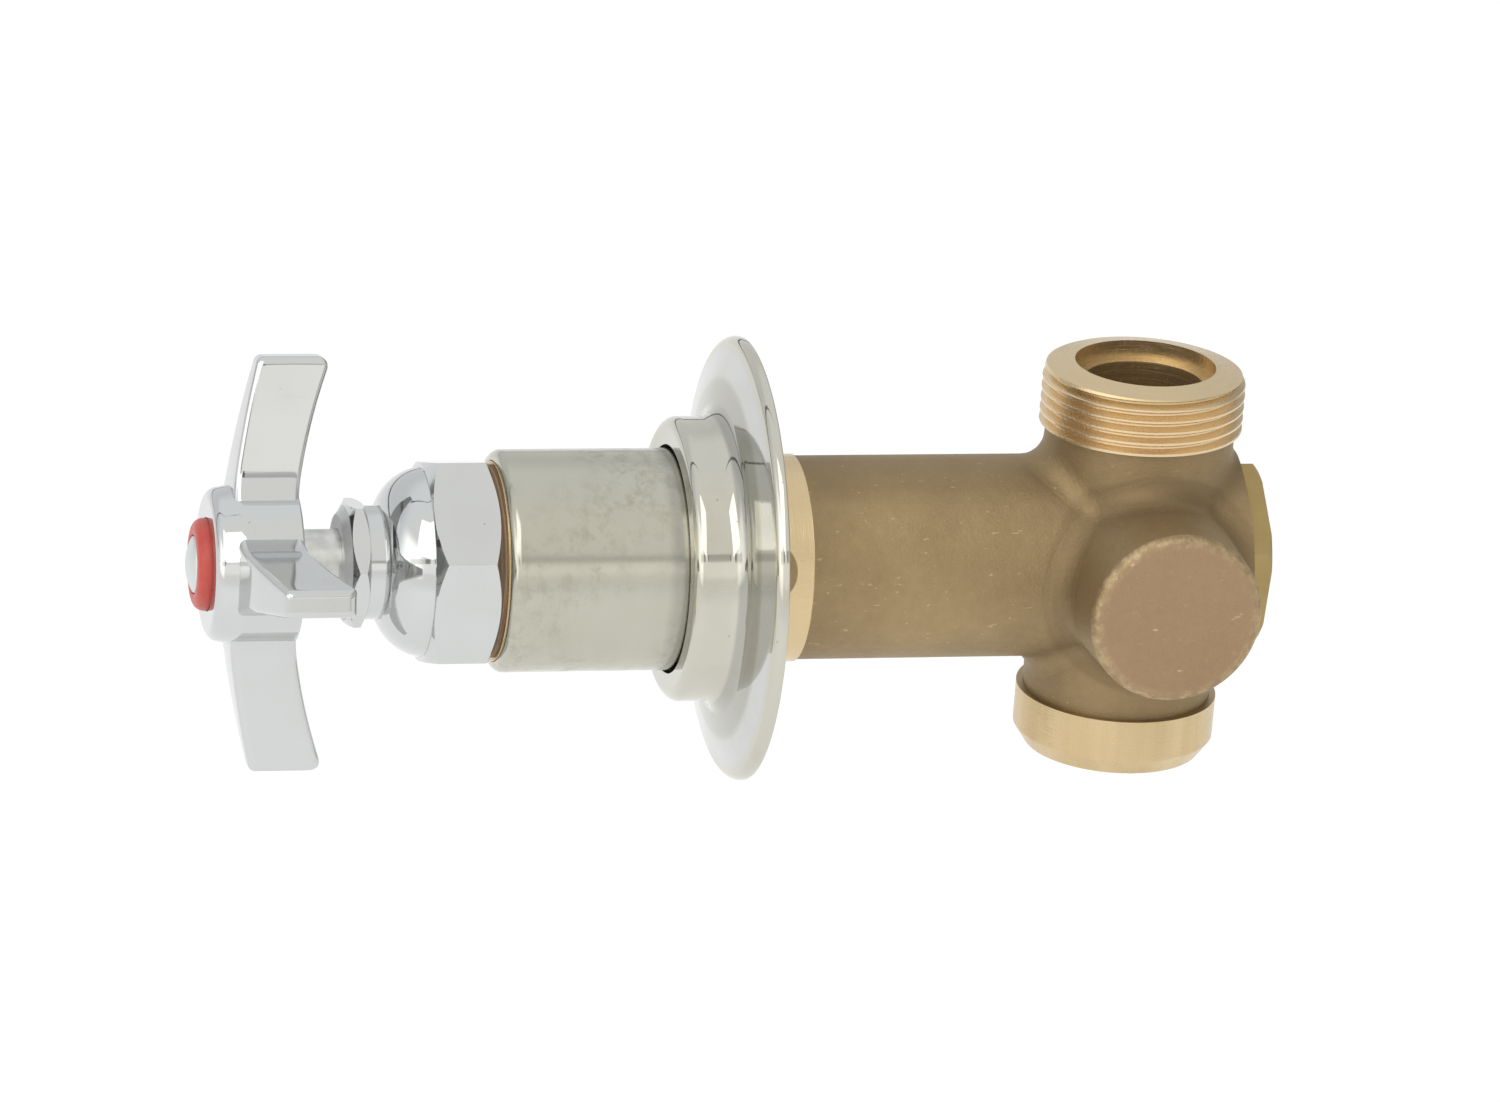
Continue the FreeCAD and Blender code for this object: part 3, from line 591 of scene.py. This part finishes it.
# ---- turning and cutting
def mesh_piece(name, bm):
    """An object made from a bmesh, which is used up."""
    mesh = bpy.data.meshes.new(name)
    bm.to_mesh(mesh)
    bm.free()
    made = bpy.data.objects.new(name, mesh)
    bpy.context.scene.collection.objects.link(made)
    return made


def finish_object(name, bm, finish, body, nodes):
    """Close a bmesh into a piece that rides on a body and stands for its CAD nodes."""
    bmesh.ops.remove_doubles(bm, verts=bm.verts, dist=MERGE)
    bmesh.ops.recalc_face_normals(bm, faces=bm.faces)
    for face in bm.faces:
        face.smooth = True
    piece = mesh_piece(name, bm)
    piece.data.materials.append(bpy.data.materials[finish])
    even = piece.modifiers.new("even_shading", "WEIGHTED_NORMAL")
    even.keep_sharp = True
    even.weight = 60
    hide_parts(*nodes)
    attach(piece, body)
    return piece


def turned(corners, steps):
    """Turn a section of (x, radius) corners about the valve's axis.

    A rounded corner also has its rounding and its steps. Edges on the axis are dropped.
    """
    bm = bmesh.new()
    points = [Vector((c[0], 0, AXIS_Z + c[1])) for c in corners]
    verts = [bm.verts.new(p) for p in points]
    bm.faces.new(verts)
    for k, corner in enumerate(corners):
        if len(corner) == 2:
            continue
        here = points[k]
        a = (points[k - 1] - here).normalized()
        b = (points[(k + 1) % len(points)] - here).normalized()
        tangent = corner[2] / math.tan(a.angle(b) / 2)
        bmesh.ops.bevel(bm, geom=[verts[k]], offset=tangent, offset_type="OFFSET",
                        affect="VERTICES", segments=corner[3], profile=0.5, material=-1)
    bm.faces.ensure_lookup_table()
    bmesh.ops.delete(bm, geom=bm.faces[:], context="FACES_ONLY")
    on_axis = [e for e in bm.edges if all(abs(v.co.z - AXIS_Z) < MERGE for v in e.verts)]
    bmesh.ops.delete(bm, geom=on_axis, context="EDGES")
    bmesh.ops.spin(bm, geom=bm.verts[:] + bm.edges[:], cent=(0, 0, AXIS_Z), axis=(1, 0, 0),
                   angle=2 * math.pi, steps=steps, use_merge=True)
    bmesh.ops.remove_doubles(bm, verts=bm.verts, dist=MERGE)
    bmesh.ops.recalc_face_normals(bm, faces=bm.faces)
    return bm


def arc_points(start, end, bow, count):
    """(x, radius) points of an arc that bows towards the front at its middle."""
    a, b = Vector(start), Vector(end)
    chord = b - a
    across = Vector((-abs(chord.y), chord.x if chord.y > 0 else -chord.x)).normalized()
    half = chord.length / 2
    big = (half * half + bow * bow) / (2 * bow)
    centre = (a + b) / 2 + across * (bow - big)
    turn = math.asin(half / big)
    side = chord.normalized()
    points = []
    for k in range(count + 1):
        t = turn * (2 * k / count - 1)
        p = centre + across * (big * math.cos(t)) + side * (big * math.sin(t))
        points.append((p.x, p.y))
    return points


def bow_at(start_r, start_x, end_r, end_x, bow, radius):
    """The x at a radius on a shallow arc that bows towards the front."""
    share = (radius - start_r) / (end_r - start_r)
    return start_x + (end_x - start_x) * share - 4 * bow * share * (1 - share)


def common(first, second):
    """The bmesh of what two closed meshes share."""
    one = mesh_piece("cut_one", first)
    two = mesh_piece("cut_two", second)
    cut = one.modifiers.new("cut", "BOOLEAN")
    cut.operation = "INTERSECT"
    cut.solver = "EXACT"
    cut.object = two
    bpy.context.view_layer.update()
    result = one.evaluated_get(bpy.context.evaluated_depsgraph_get())
    bm = bmesh.new()
    bm.from_mesh(result.data)
    for made in (one, two):
        mesh = made.data
        bpy.data.objects.remove(made)
        bpy.data.meshes.remove(mesh)
    return bm


def hexagon_bar(flats, start, end, turn):
    """A closed hexagon bar along the axis with its first corner at an angle from +Z."""
    bm = bmesh.new()
    bmesh.ops.create_circle(bm, cap_ends=True, segments=6, radius=flats / math.sqrt(3))
    bmesh.ops.rotate(bm, verts=bm.verts, matrix=Matrix.Rotation(math.pi / 2, 3, "Y"))
    bmesh.ops.rotate(bm, verts=bm.verts, matrix=Matrix.Rotation(turn + math.pi / 2, 3, "X"))
    bmesh.ops.translate(bm, verts=bm.verts, vec=(start, 0, AXIS_Z))
    made = bmesh.ops.extrude_face_region(bm, geom=bm.faces[:])
    moved = [v for v in made["geom"] if isinstance(v, bmesh.types.BMVert)]
    bmesh.ops.translate(bm, verts=moved, vec=(end - start, 0, 0))
    bmesh.ops.recalc_face_normals(bm, faces=bm.faces)
    return bm


def hexagon_size(flats):
    """A hexagon's corner radius, its chamfer's radius and the chamfer's length at 30 degrees."""
    corner = flats / math.sqrt(3)
    flat = HEX_CHAMFER * flats / 2
    return corner, flat, (corner - flat) * math.tan(math.radians(30))


def hexagon_piece(node, corners, steps, flats, turn, soft, segments):
    """A turned piece cut to a hexagon, with its sharp edges rounded before the even shading."""
    bar = hexagon_bar(flats, low(node).x - BAR_SPARE, high(node).x + BAR_SPARE, turn)
    piece = finish_object(node + "_shell", common(turned(corners, steps), bar),
                          "bright_plating", "valve", [node])
    bevel = piece.modifiers.new("soft_edges", "BEVEL")
    bevel.width = soft
    bevel.segments = segments
    bevel.limit_method = "ANGLE"
    bevel.angle_limit = math.radians(20)
    bevel.harden_normals = False
    bevel.use_clamp_overlap = True
    piece.modifiers.move(len(piece.modifiers) - 1, 0)


class ArmPlan:
    """An arm's outline seen from the front, with the hollow that joins it to its neighbours."""

    def __init__(self, s, hub_rear):
        self.s = s
        self.hub_rear = hub_rear
        self.taper = (s.arm_root_width - s.arm_tip_width) / 2 / (s.arm_tip_r - s.hub_r)
        corner = (s.arm_tip_width / 2 + s.arm_tip_r * self.taper) / (1 + self.taper)
        self.lean = math.hypot(1, self.taper)
        self.centre = corner + s.arm_blend * self.lean / (1 + self.taper)
        self.root = self.centre - s.arm_blend / math.sqrt(2)
        self.clear_share = 1 - s.arm_tip_round / (s.arm_tip_r - self.root)

    def half_width(self, height):
        """Half the arm's width at a height above the axis, and how much its side slants there."""
        s = self.s
        if height >= self.centre - s.arm_blend * self.taper / self.lean:
            return s.arm_tip_width / 2 + (s.arm_tip_r - height) * self.taper, self.lean
        drop = self.centre - height
        level = math.sqrt(s.arm_blend ** 2 - drop ** 2)
        return self.centre - level, s.arm_blend / level

    def is_root(self, edge):
        """Whether an edge lies at the root, where the four arms join."""
        return all(v.co.z < self.root + 1e-6 for v in edge.verts)

    def rear_x(self, radius):
        """The x of the arm's rear edge at a radius."""
        s = self.s
        return self.hub_rear + bow_at(s.hub_r, 0, s.arm_tip_r, s.arm_lean, s.arm_rear_bow,
                                      max(radius, s.hub_r))

    def front_x(self, radius):
        """The x of the arm's front edge at a radius."""
        s = self.s
        return self.hub_rear + bow_at(s.hub_r, -s.arm_root_l, s.arm_tip_r,
                                      s.arm_lean - s.arm_tip_l, s.arm_front_bow,
                                      max(radius, s.hub_r))

    def tip_drop(self, from_tip):
        """How far the rounding of the tip's rear corner moves the rear edge."""
        size = self.s.arm_tip_round
        reach = max(0, size - from_tip)
        return size - math.sqrt(size ** 2 - reach ** 2)


# ---- pieces
class VALVE_OT_wall_flange(bpy.types.Operator):
    """Turn the wall flange with its collar"""

    bl_idname = "valve.wall_flange"
    bl_label = "Wall flange"

    def execute(self, context):
        s = context.scene.valve_sizes
        rear = high("escutcheon").x
        rim_r = round_radius("escutcheon")
        front = FLANGE_FRONT
        foot = front + s.flange_collar_l
        rim = rear - s.flange_rim_l
        cave = rim_r - s.flange_wall
        corners = [(front, s.flange_bore_r, 0.0003, 3),
                   (front, s.flange_collar_r, s.collar_round, 10),
                   (foot, s.flange_collar_r, s.foot_round, 12), (rim, rim_r, s.rim_round, 10),
                   (rear, rim_r, 0.0002, 2), (rear, cave, 0.0002, 2),
                   (rim + s.flange_wall, cave, 0.0004, 3),
                   (foot + s.flange_wall, s.flange_collar_r, 0.001, 3),
                   (foot + s.flange_wall, s.flange_bore_r, 0.0002, 2)]
        finish_object("flange_shell", turned(corners, s.steps), "warm_plating", "wall_flange",
                      ["escutcheon"])
        return {"FINISHED"}


class VALVE_OT_sleeve(bpy.types.Operator):
    """Turn the satin sleeve"""

    bl_idname = "valve.sleeve"
    bl_label = "Sleeve"

    def execute(self, context):
        s = context.scene.valve_sizes
        front, rear = low("sleeve").x, high("sleeve").x
        outer = round_radius("sleeve")
        lip = front + s.sleeve_lip_l
        corners = [(front, s.sleeve_lip_r, 0.0001, 2), (front, outer, s.sleeve_round, 8),
                   (rear, outer, 0.0002, 2), (rear, s.sleeve_bore_r),
                   (lip, s.sleeve_bore_r), (lip, s.sleeve_lip_r)]
        finish_object("sleeve_tube", turned(corners, s.steps), "satin_sleeve", "valve",
                      ["sleeve"])
        return {"FINISHED"}


class VALVE_OT_index(bpy.types.Operator):
    """Turn the red index ring and its bare button"""

    bl_idname = "valve.index"
    bl_label = "Index ring and button"

    def execute(self, context):
        s = context.scene.valve_sizes
        front, rear = low("index_ring").x, high("index_ring").x
        outer = round_radius("index_ring")
        corners = [(front, s.index_bore_r, 0.0002, 2), (front, outer, s.index_round, 8),
                   (rear, outer), (rear, s.index_bore_r)]
        finish_object("index_band", turned(corners, s.steps), "moulded_red", "handle_set",
                      ["index_ring"])
        apex, rear = low("index_button").x, high("index_button").x
        outer = round_radius("index_button")
        edge = apex + s.button_crown
        big = (outer ** 2 + s.button_crown ** 2) / (2 * s.button_crown)
        rim = math.asin(outer / big)
        crown = [(apex + big * (1 - math.cos(rim * k / 8)), big * math.sin(rim * k / 8))
                 for k in range(9)]
        corners = crown + [(edge + 0.0004, outer), (rear, outer), (rear, 0.0)]
        finish_object("index_face", turned(corners, s.steps), "silver_button", "handle_set",
                      ["index_button"])
        return {"FINISHED"}


class VALVE_OT_bonnet(bpy.types.Operator):
    """Cut the bonnet's hexagon and dome"""

    bl_idname = "valve.bonnet"
    bl_label = "Bonnet"

    def execute(self, context):
        s = context.scene.valve_sizes
        turn = context.scene.valve_angles.bonnet
        rear = low("bonnet_gasket").x
        hexagon = rear - s.bonnet_hex_l
        top = hexagon - s.dome_l
        corner, flat, drop = hexagon_size(s.bonnet_flats)
        dome = arc_points((top, s.dome_nose_r), (hexagon, s.dome_r), s.dome_bulge, 16)
        nose, tail = low("bonnet").x, high("bonnet").x
        thread_end, lead = rear + BONNET_THREAD_L, nose + STUFFING_L
        corners = [(nose, STUFFING_R), (nose, NOSE_R), (top, NOSE_R), *dome, (hexagon, flat),
                   (hexagon + drop, corner), (rear - drop, corner), (rear, flat),
                   (rear, BONNET_THREAD_R), (thread_end, BONNET_THREAD_R),
                   (thread_end, BONNET_TAIL_R), (tail, BONNET_TAIL_R), (tail, LEAD_R),
                   (lead, LEAD_R), (lead, STUFFING_R)]
        hexagon_piece("bonnet", corners, s.steps, s.bonnet_flats, turn, 0.0009, 5)
        return {"FINISHED"}


class VALVE_OT_packing_nut(bpy.types.Operator):
    """Cut the packing nut's hexagon and collar"""

    bl_idname = "valve.packing_nut"
    bl_label = "Packing nut"

    def execute(self, context):
        s = context.scene.valve_sizes
        turn = context.scene.valve_angles.nut
        rear, front = high("packing_nut").x, NUT_FRONT
        hex_rear = rear - s.nut_collar_l
        hex_front = hex_rear - s.nut_hex_l
        corner, flat, drop = hexagon_size(s.nut_flats)
        wall = front + NUT_WALL
        corners = [(front, SPINDLE_HOLE_R), (front, s.nut_face_r), (hex_front, s.nut_collar_r),
                   (hex_front, flat), (hex_front + drop, corner), (hex_rear - drop, corner),
                   (hex_rear, flat), (hex_rear, s.nut_collar_r), (rear, s.nut_collar_r),
                   (rear, NUT_BORE_R), (wall, NUT_BORE_R), (wall, SPINDLE_HOLE_R)]
        hexagon_piece("packing_nut", corners, s.steps, s.nut_flats, turn, 0.00025, 3)
        return {"FINISHED"}


class VALVE_OT_handle(bpy.types.Operator):
    """Shape the four-armed handle and its hub"""

    bl_idname = "valve.handle"
    bl_label = "Handle"

    def execute(self, context):
        s = context.scene.valve_sizes
        turn = context.scene.valve_angles.handle
        front = low("handle").x
        rear = front + s.hub_l
        seat = high("index_ring").x
        recess = round_radius("index_ring") + 0.00005
        corners = [(front, recess, 0.0002, 2), (front, s.hub_face_r, s.hub_round, 8),
                   (front + s.hub_cone_l, s.hub_r, 0.004, 4), (rear, s.hub_r, 0.0004, 2),
                   (rear, SPINDLE_HOLE_R, 0.0002, 2), (seat, SPINDLE_HOLE_R), (seat, recess)]
        hub = turned(corners, s.steps)
        self.add_arms(hub, s, turn, ArmPlan(s, rear))
        finish_object("handle_cross", hub, "bright_plating", "handle_set", ["handle"])
        return {"FINISHED"}

    def add_arms(self, hub, s, turn, plan):
        """Shape one arm from a grid, turn three copies of it and add them to the hub."""
        arm = self.one_arm(s, plan)
        bmesh.ops.spin(arm, geom=arm.verts[:] + arm.edges[:] + arm.faces[:], cent=(0, 0, 0),
                       axis=(1, 0, 0), angle=1.5 * math.pi, steps=3, use_duplicate=True)
        bmesh.ops.remove_doubles(arm, verts=arm.verts, dist=1e-6)
        bmesh.ops.holes_fill(arm, edges=[e for e in arm.edges if e.is_boundary], sides=0)
        bmesh.ops.recalc_face_normals(arm, faces=arm.faces)
        bmesh.ops.rotate(arm, verts=arm.verts, matrix=Matrix.Rotation(turn, 3, "X"))
        bmesh.ops.translate(arm, verts=arm.verts, vec=(0, 0, AXIS_Z))
        spare = bpy.data.meshes.new("arms")
        arm.to_mesh(spare)
        arm.free()
        hub.from_mesh(spare)
        bpy.data.meshes.remove(spare)

    def one_arm(self, s, plan):
        """The arm that stands up from the axis, with its front, rear, sides and tip."""
        rounds, middle, along, tip_rows = 6, 8, 26, 10
        wide = 2 * rounds + middle
        tall = along + tip_rows
        arm = bmesh.new()
        layer = arm.verts.layers.int.new("rear")
        for rear in (0, 1):
            made = bmesh.ops.create_grid(arm, x_segments=wide, y_segments=tall, size=1.0)
            for v in made["verts"]:
                column = round((v.co.x + 1) / 2 * wide)
                row = round((v.co.y + 1) / 2 * tall)
                v[layer] = rear
                v.co = self.place(s, plan, rear, column, row, (rounds, wide, along, tall))
        walls = [e for e in arm.edges if e.is_boundary and not plan.is_root(e)]
        bridge = bmesh.ops.bridge_loops(arm, edges=walls)
        rungs = {e for f in bridge["faces"] for e in f.edges
                 if e.verts[0][layer] != e.verts[1][layer]}
        bmesh.ops.subdivide_edges(arm, edges=list(rungs), cuts=15, use_grid_fill=True)
        self.dish(s, plan, arm)
        return arm

    def place(self, s, plan, rear, column, row, counts):
        """Where a point of the front or rear grid goes, from its column and row."""
        rounds, wide, along, tall = counts
        if row <= along:
            from_tip = (s.arm_tip_r - plan.root) * (1 - row / along) * plan.clear_share
            from_tip += s.arm_tip_round
        else:
            climb = math.sin(math.pi / 2 * (row - along) / (tall - along))
            from_tip = s.arm_tip_round * (1 - climb)
        height = s.arm_tip_r - from_tip
        half, slant = plan.half_width(height)
        side = 1 if column > wide / 2 else -1
        rank = min(column, wide - column)
        if rank <= rounds:
            inset = s.arm_edge * (1 - math.cos(math.pi / 2 * rank / rounds))
            across = side * (half - inset * slant)
        else:
            inset = s.arm_edge
            share = 2 * (column - rounds) / (wide - 2 * rounds) - 1
            across = share * (half - s.arm_edge * slant)
        over, up = max(0, s.arm_edge - inset), max(0, s.arm_edge - from_tip)
        pull_over = over - over * math.sqrt(1 - (up / s.arm_edge) ** 2 / 2)
        pull_up = up - up * math.sqrt(1 - (over / s.arm_edge) ** 2 / 2)
        across -= side * pull_over
        height -= pull_up
        radius = math.hypot(across, height)
        side_drop = s.arm_edge - math.sqrt(s.arm_edge ** 2 - over ** 2)
        if rear:
            x = plan.rear_x(radius) - math.hypot(side_drop, plan.tip_drop(from_tip))
        else:
            tip_drop = s.arm_edge - math.sqrt(s.arm_edge ** 2 - up ** 2)
            x = plan.front_x(radius) + math.hypot(side_drop, tip_drop)
        return Vector((x, across, height))

    def dish(self, s, plan, arm):
        """Hollow the arm's sides a little, most of all half way up."""
        for v in arm.verts:
            half = plan.half_width(v.co.z)[0]
            if abs(v.co.y) < half - 1e-5 or v.co.z > s.arm_tip_r - s.arm_edge:
                continue
            front = plan.front_x(v.co.z) + s.arm_edge
            tip_drop = plan.tip_drop(s.arm_tip_r - v.co.z)
            rear = plan.rear_x(v.co.z) - math.hypot(s.arm_edge, tip_drop)
            share = (v.co.x - front) / (rear - front)
            risen = max(0, (v.co.z - plan.centre) / (s.arm_tip_r - plan.centre))
            fade = risen ** 2 * min(1, (s.arm_tip_r - s.arm_edge - v.co.z) / s.arm_tip_width)
            depth = s.arm_dish * fade * max(0, 4 * share * (1 - share))
            v.co.y -= math.copysign(depth, v.co.y)


class VALVE_OT_finishes(bpy.types.Operator):
    """Make the finishes and give one to every piece that comes from model.glb"""

    bl_idname = "valve.finishes"
    bl_label = "Finishes"

    def execute(self, context):
        s, tones = context.scene.valve_sizes, context.scene.valve_colours
        given = (
            (polished_chrome("bright_plating", tones.chrome, tones.chrome_dull),
             ("bonnet", "packing_nut", "handle")),
            (polished_chrome("warm_plating", tones.flange, tones.sleeve_stain), ("escutcheon",)),
            (turned_brass(tones), ("seat_ring", "packing_washer", "gland_ring",
                                   "spindle_guide", "disc_holder", "washer_nut")),
            (black_rubber(tones), ("plug_o_ring", "flange_o_ring", "seat_washer")),
            (spring_steel(), ("snap_ring", "handle_screw", "screw_washer")),
            (satin_sleeve(tones), ("sleeve",)),
            (red_plastic(tones), ("index_ring",)),
            (silver_button(tones), ("index_button",)),
            (bronze_body(tones, s), ("valve_body",)),
            (plug_brass(tones), ("rear_plug",)),
            (brown_fibre(tones), ("bonnet_gasket",)),
            (packing_fibre(), ("packing_rings",)),
            (satin_stem(tones), ("spindle",)),
        )
        for material, nodes in given:
            for node in nodes:
                slots = NODES[node].material_slots
                for slot in slots:
                    slot.material = material
                if not slots:
                    NODES[node].data.materials.append(material)
        return {"FINISHED"}


class VALVE_OT_stage(bpy.types.Operator):
    """Set the floor, the light and the camera"""

    bl_idname = "valve.stage"
    bl_label = "Stage"

    def execute(self, context):
        scene = context.scene
        tones = scene.valve_colours
        self.floor(tones)
        self.world(scene)
        self.lamp("key_light", (-0.55, -0.75, 0.85), 0.9, 3.0)
        self.camera(scene)
        scene.view_settings.view_transform = "Standard"
        return {"FINISHED"}

    def floor(self, tones):
        """A pale paper floor that glows a little."""
        bm = bmesh.new()
        bmesh.ops.create_grid(bm, x_segments=8, y_segments=8, size=FLOOR_HALF)
        bmesh.ops.translate(bm, verts=bm.verts, vec=(0, 0, CAD_BOX[0][2] - FLOOR_DROP))
        floor = mesh_piece("studio_floor", bm)
        f = Finish("studio_floor", Metallic=0.0, Emission_Color=(1, 1, 1),
                   Emission_Strength=0.2)
        paper = f.noise(90, 3, 0.5)
        f.set("Base Color", f.blend(paper * 0.1, tones.floor, (0.86, 0.86, 0.86)))
        f.set("Roughness", 0.9 + paper * 0.05)
        floor.data.materials.append(f.material)

    def world(self, scene):
        """A white tent: a hot panel left of the camera, a slot at its height and thin seams."""
        world = bpy.data.worlds.new("light_tent")
        world.use_nodes = True
        scene.world = world
        tent = Nodes(world.node_tree)
        x, y, z = tent.split(tent.node("TexCoord", {}, output="Generated"))
        turn = tent.node("Math", {"operation": "ARCTAN2"}, 0 - x, y)
        front = tent.step(0 - y, 0.1, 0.6)
        panel = tent.band(turn, math.radians(92), math.radians(138), 0.42)
        panel = panel * tent.band(z, -0.05, 0.50, 0.22)
        right = tent.step(x, 0.55, 0.5)
        glow = 1.0 + panel * 0.85 - right * 0.5
        low_strip = tent.band(z, 0.08, 0.33, 0.1) * tent.step(0 - y, 0.3, 0.3)
        back_wall = tent.band(z, 0.12, 0.7, 0.3) * tent.step(y, 0.2, 0.3)
        glow = glow + low_strip * 0.2 - back_wall * 0.18
        back_seam = tent.band(z, 0.11, 0.15, 0.02) * tent.step(y, 0.2, 0.1)
        left_seam = tent.band(turn, math.radians(56), math.radians(59), 0.02)
        view = scene.valve_camera
        fall = math.atan2(math.tan(view.elevation), math.cos(view.azimuth))
        rise = y * math.sin(fall) + z * math.cos(fall)
        slot = tent.band(rise, -0.05, 0.05, 0.025) * tent.step(0 - y, 0.1, 0.1)
        depth = sum(tent.band(x, *place) * dark for *place, dark in SLOT_PARTS)
        dark = back_seam * 0.85 + left_seam * 0.85 + slot * depth
        glow = glow * (1 - dark.clip())
        tint = tent.blend(front, (0.97, 0.985, 1.0), (1.0, 0.995, 0.965))
        lit = tent.node("Background", {}, tint, glow)
        white = tent.node("Background", {}, (1.0, 1.0, 1.0), 1.0)
        seen = tent.node("LightPath", {}, output="Is Camera Ray")
        mixed = tent.node("MixShader", {}, seen, lit, white)
        tent.feed(tent.tree.nodes["World Output"].inputs["Surface"], mixed)

    def lamp(self, name, place, size, power):
        """A square lamp that looks at the valve."""
        lamp = bpy.data.lights.new(name, "AREA")
        lamp.shape = "SQUARE"
        lamp.size = size
        lamp.energy = power
        made = bpy.data.objects.new(name, lamp)
        made.location = place
        aim = Vector((LAMP_AIM_X, 0, AXIS_Z)) - Vector(place)
        made.rotation_euler = aim.to_track_quat("-Z", "Y").to_euler()
        bpy.context.scene.collection.objects.link(made)

    def camera(self, scene):
        """The camera at the photograph's viewpoint."""
        v = scene.valve_camera
        az, el, roll = v.azimuth, v.elevation, v.roll
        flat = math.cos(el)
        ahead = Vector((-math.sin(az) * flat, math.cos(az) * flat, -math.sin(el)))
        level = Vector((math.cos(az), math.sin(az), 0))
        up = level.cross(ahead)
        right = level * math.cos(roll) + up * math.sin(roll)
        top = up * math.cos(roll) - level * math.sin(roll)
        place = Vector((0, 0, AXIS_Z)) - v.across * right - v.above * top - v.distance * ahead
        data = bpy.data.cameras.new("photo_camera")
        data.sensor_width = 36
        data.lens = v.lens
        data.clip_start = 0.05
        made = bpy.data.objects.new("photo_camera", data)
        basis = Matrix((right, top, -ahead)).transposed()
        made.matrix_world = Matrix.Translation(place) @ basis.to_4x4()
        scene.collection.objects.link(made)
        scene.camera = made


class VALVE_PT_pieces(bpy.types.Panel):
    """The pieces of the valve and their sizes"""

    bl_idname = "VALVE_PT_pieces"
    bl_label = "Diverter valve"
    bl_space_type = "VIEW_3D"
    bl_region_type = "UI"
    bl_category = "Valve"

    def draw(self, context):
        for operator in PIECES:
            self.layout.operator(operator.bl_idname)
        for group in ("valve_sizes", "valve_angles", "valve_colours", "valve_camera"):
            settings = getattr(context.scene, group)
            box = self.layout.box()
            for name in settings.__annotations__:
                box.prop(settings, name)


GROUPS = (("valve_sizes", ValveSizes), ("valve_angles", ValveAngles),
          ("valve_colours", ValveColours), ("valve_camera", ValveCamera))
PIECES = (VALVE_OT_finishes, VALVE_OT_wall_flange, VALVE_OT_sleeve, VALVE_OT_bonnet,
          VALVE_OT_packing_nut, VALVE_OT_handle, VALVE_OT_index, VALVE_OT_stage)


def register():
    """Add the settings, the operators and the panel."""
    for name, group in GROUPS:
        bpy.utils.register_class(group)
        setattr(bpy.types.Scene, name, bpy.props.PointerProperty(type=group))
    for operator in PIECES:
        bpy.utils.register_class(operator)
    bpy.utils.register_class(VALVE_PT_pieces)


def unregister():
    """Take them out again, last one first."""
    bpy.utils.unregister_class(VALVE_PT_pieces)
    for operator in reversed(PIECES):
        bpy.utils.unregister_class(operator)
    for name, group in reversed(GROUPS):
        delattr(bpy.types.Scene, name)
        bpy.utils.unregister_class(group)


def corners(box):
    """A box as two plain lists."""
    return [list(box[0]), list(box[1])]


def main():
    """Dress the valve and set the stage."""
    register()
    bpy.ops.valve.finishes()
    bpy.ops.valve.wall_flange()
    bpy.ops.valve.sleeve()
    bpy.ops.valve.bonnet()
    bpy.ops.valve.packing_nut()
    bpy.ops.valve.handle()
    bpy.ops.valve.index()
    bpy.ops.valve.stage()


if __name__ == "__main__":
    main()
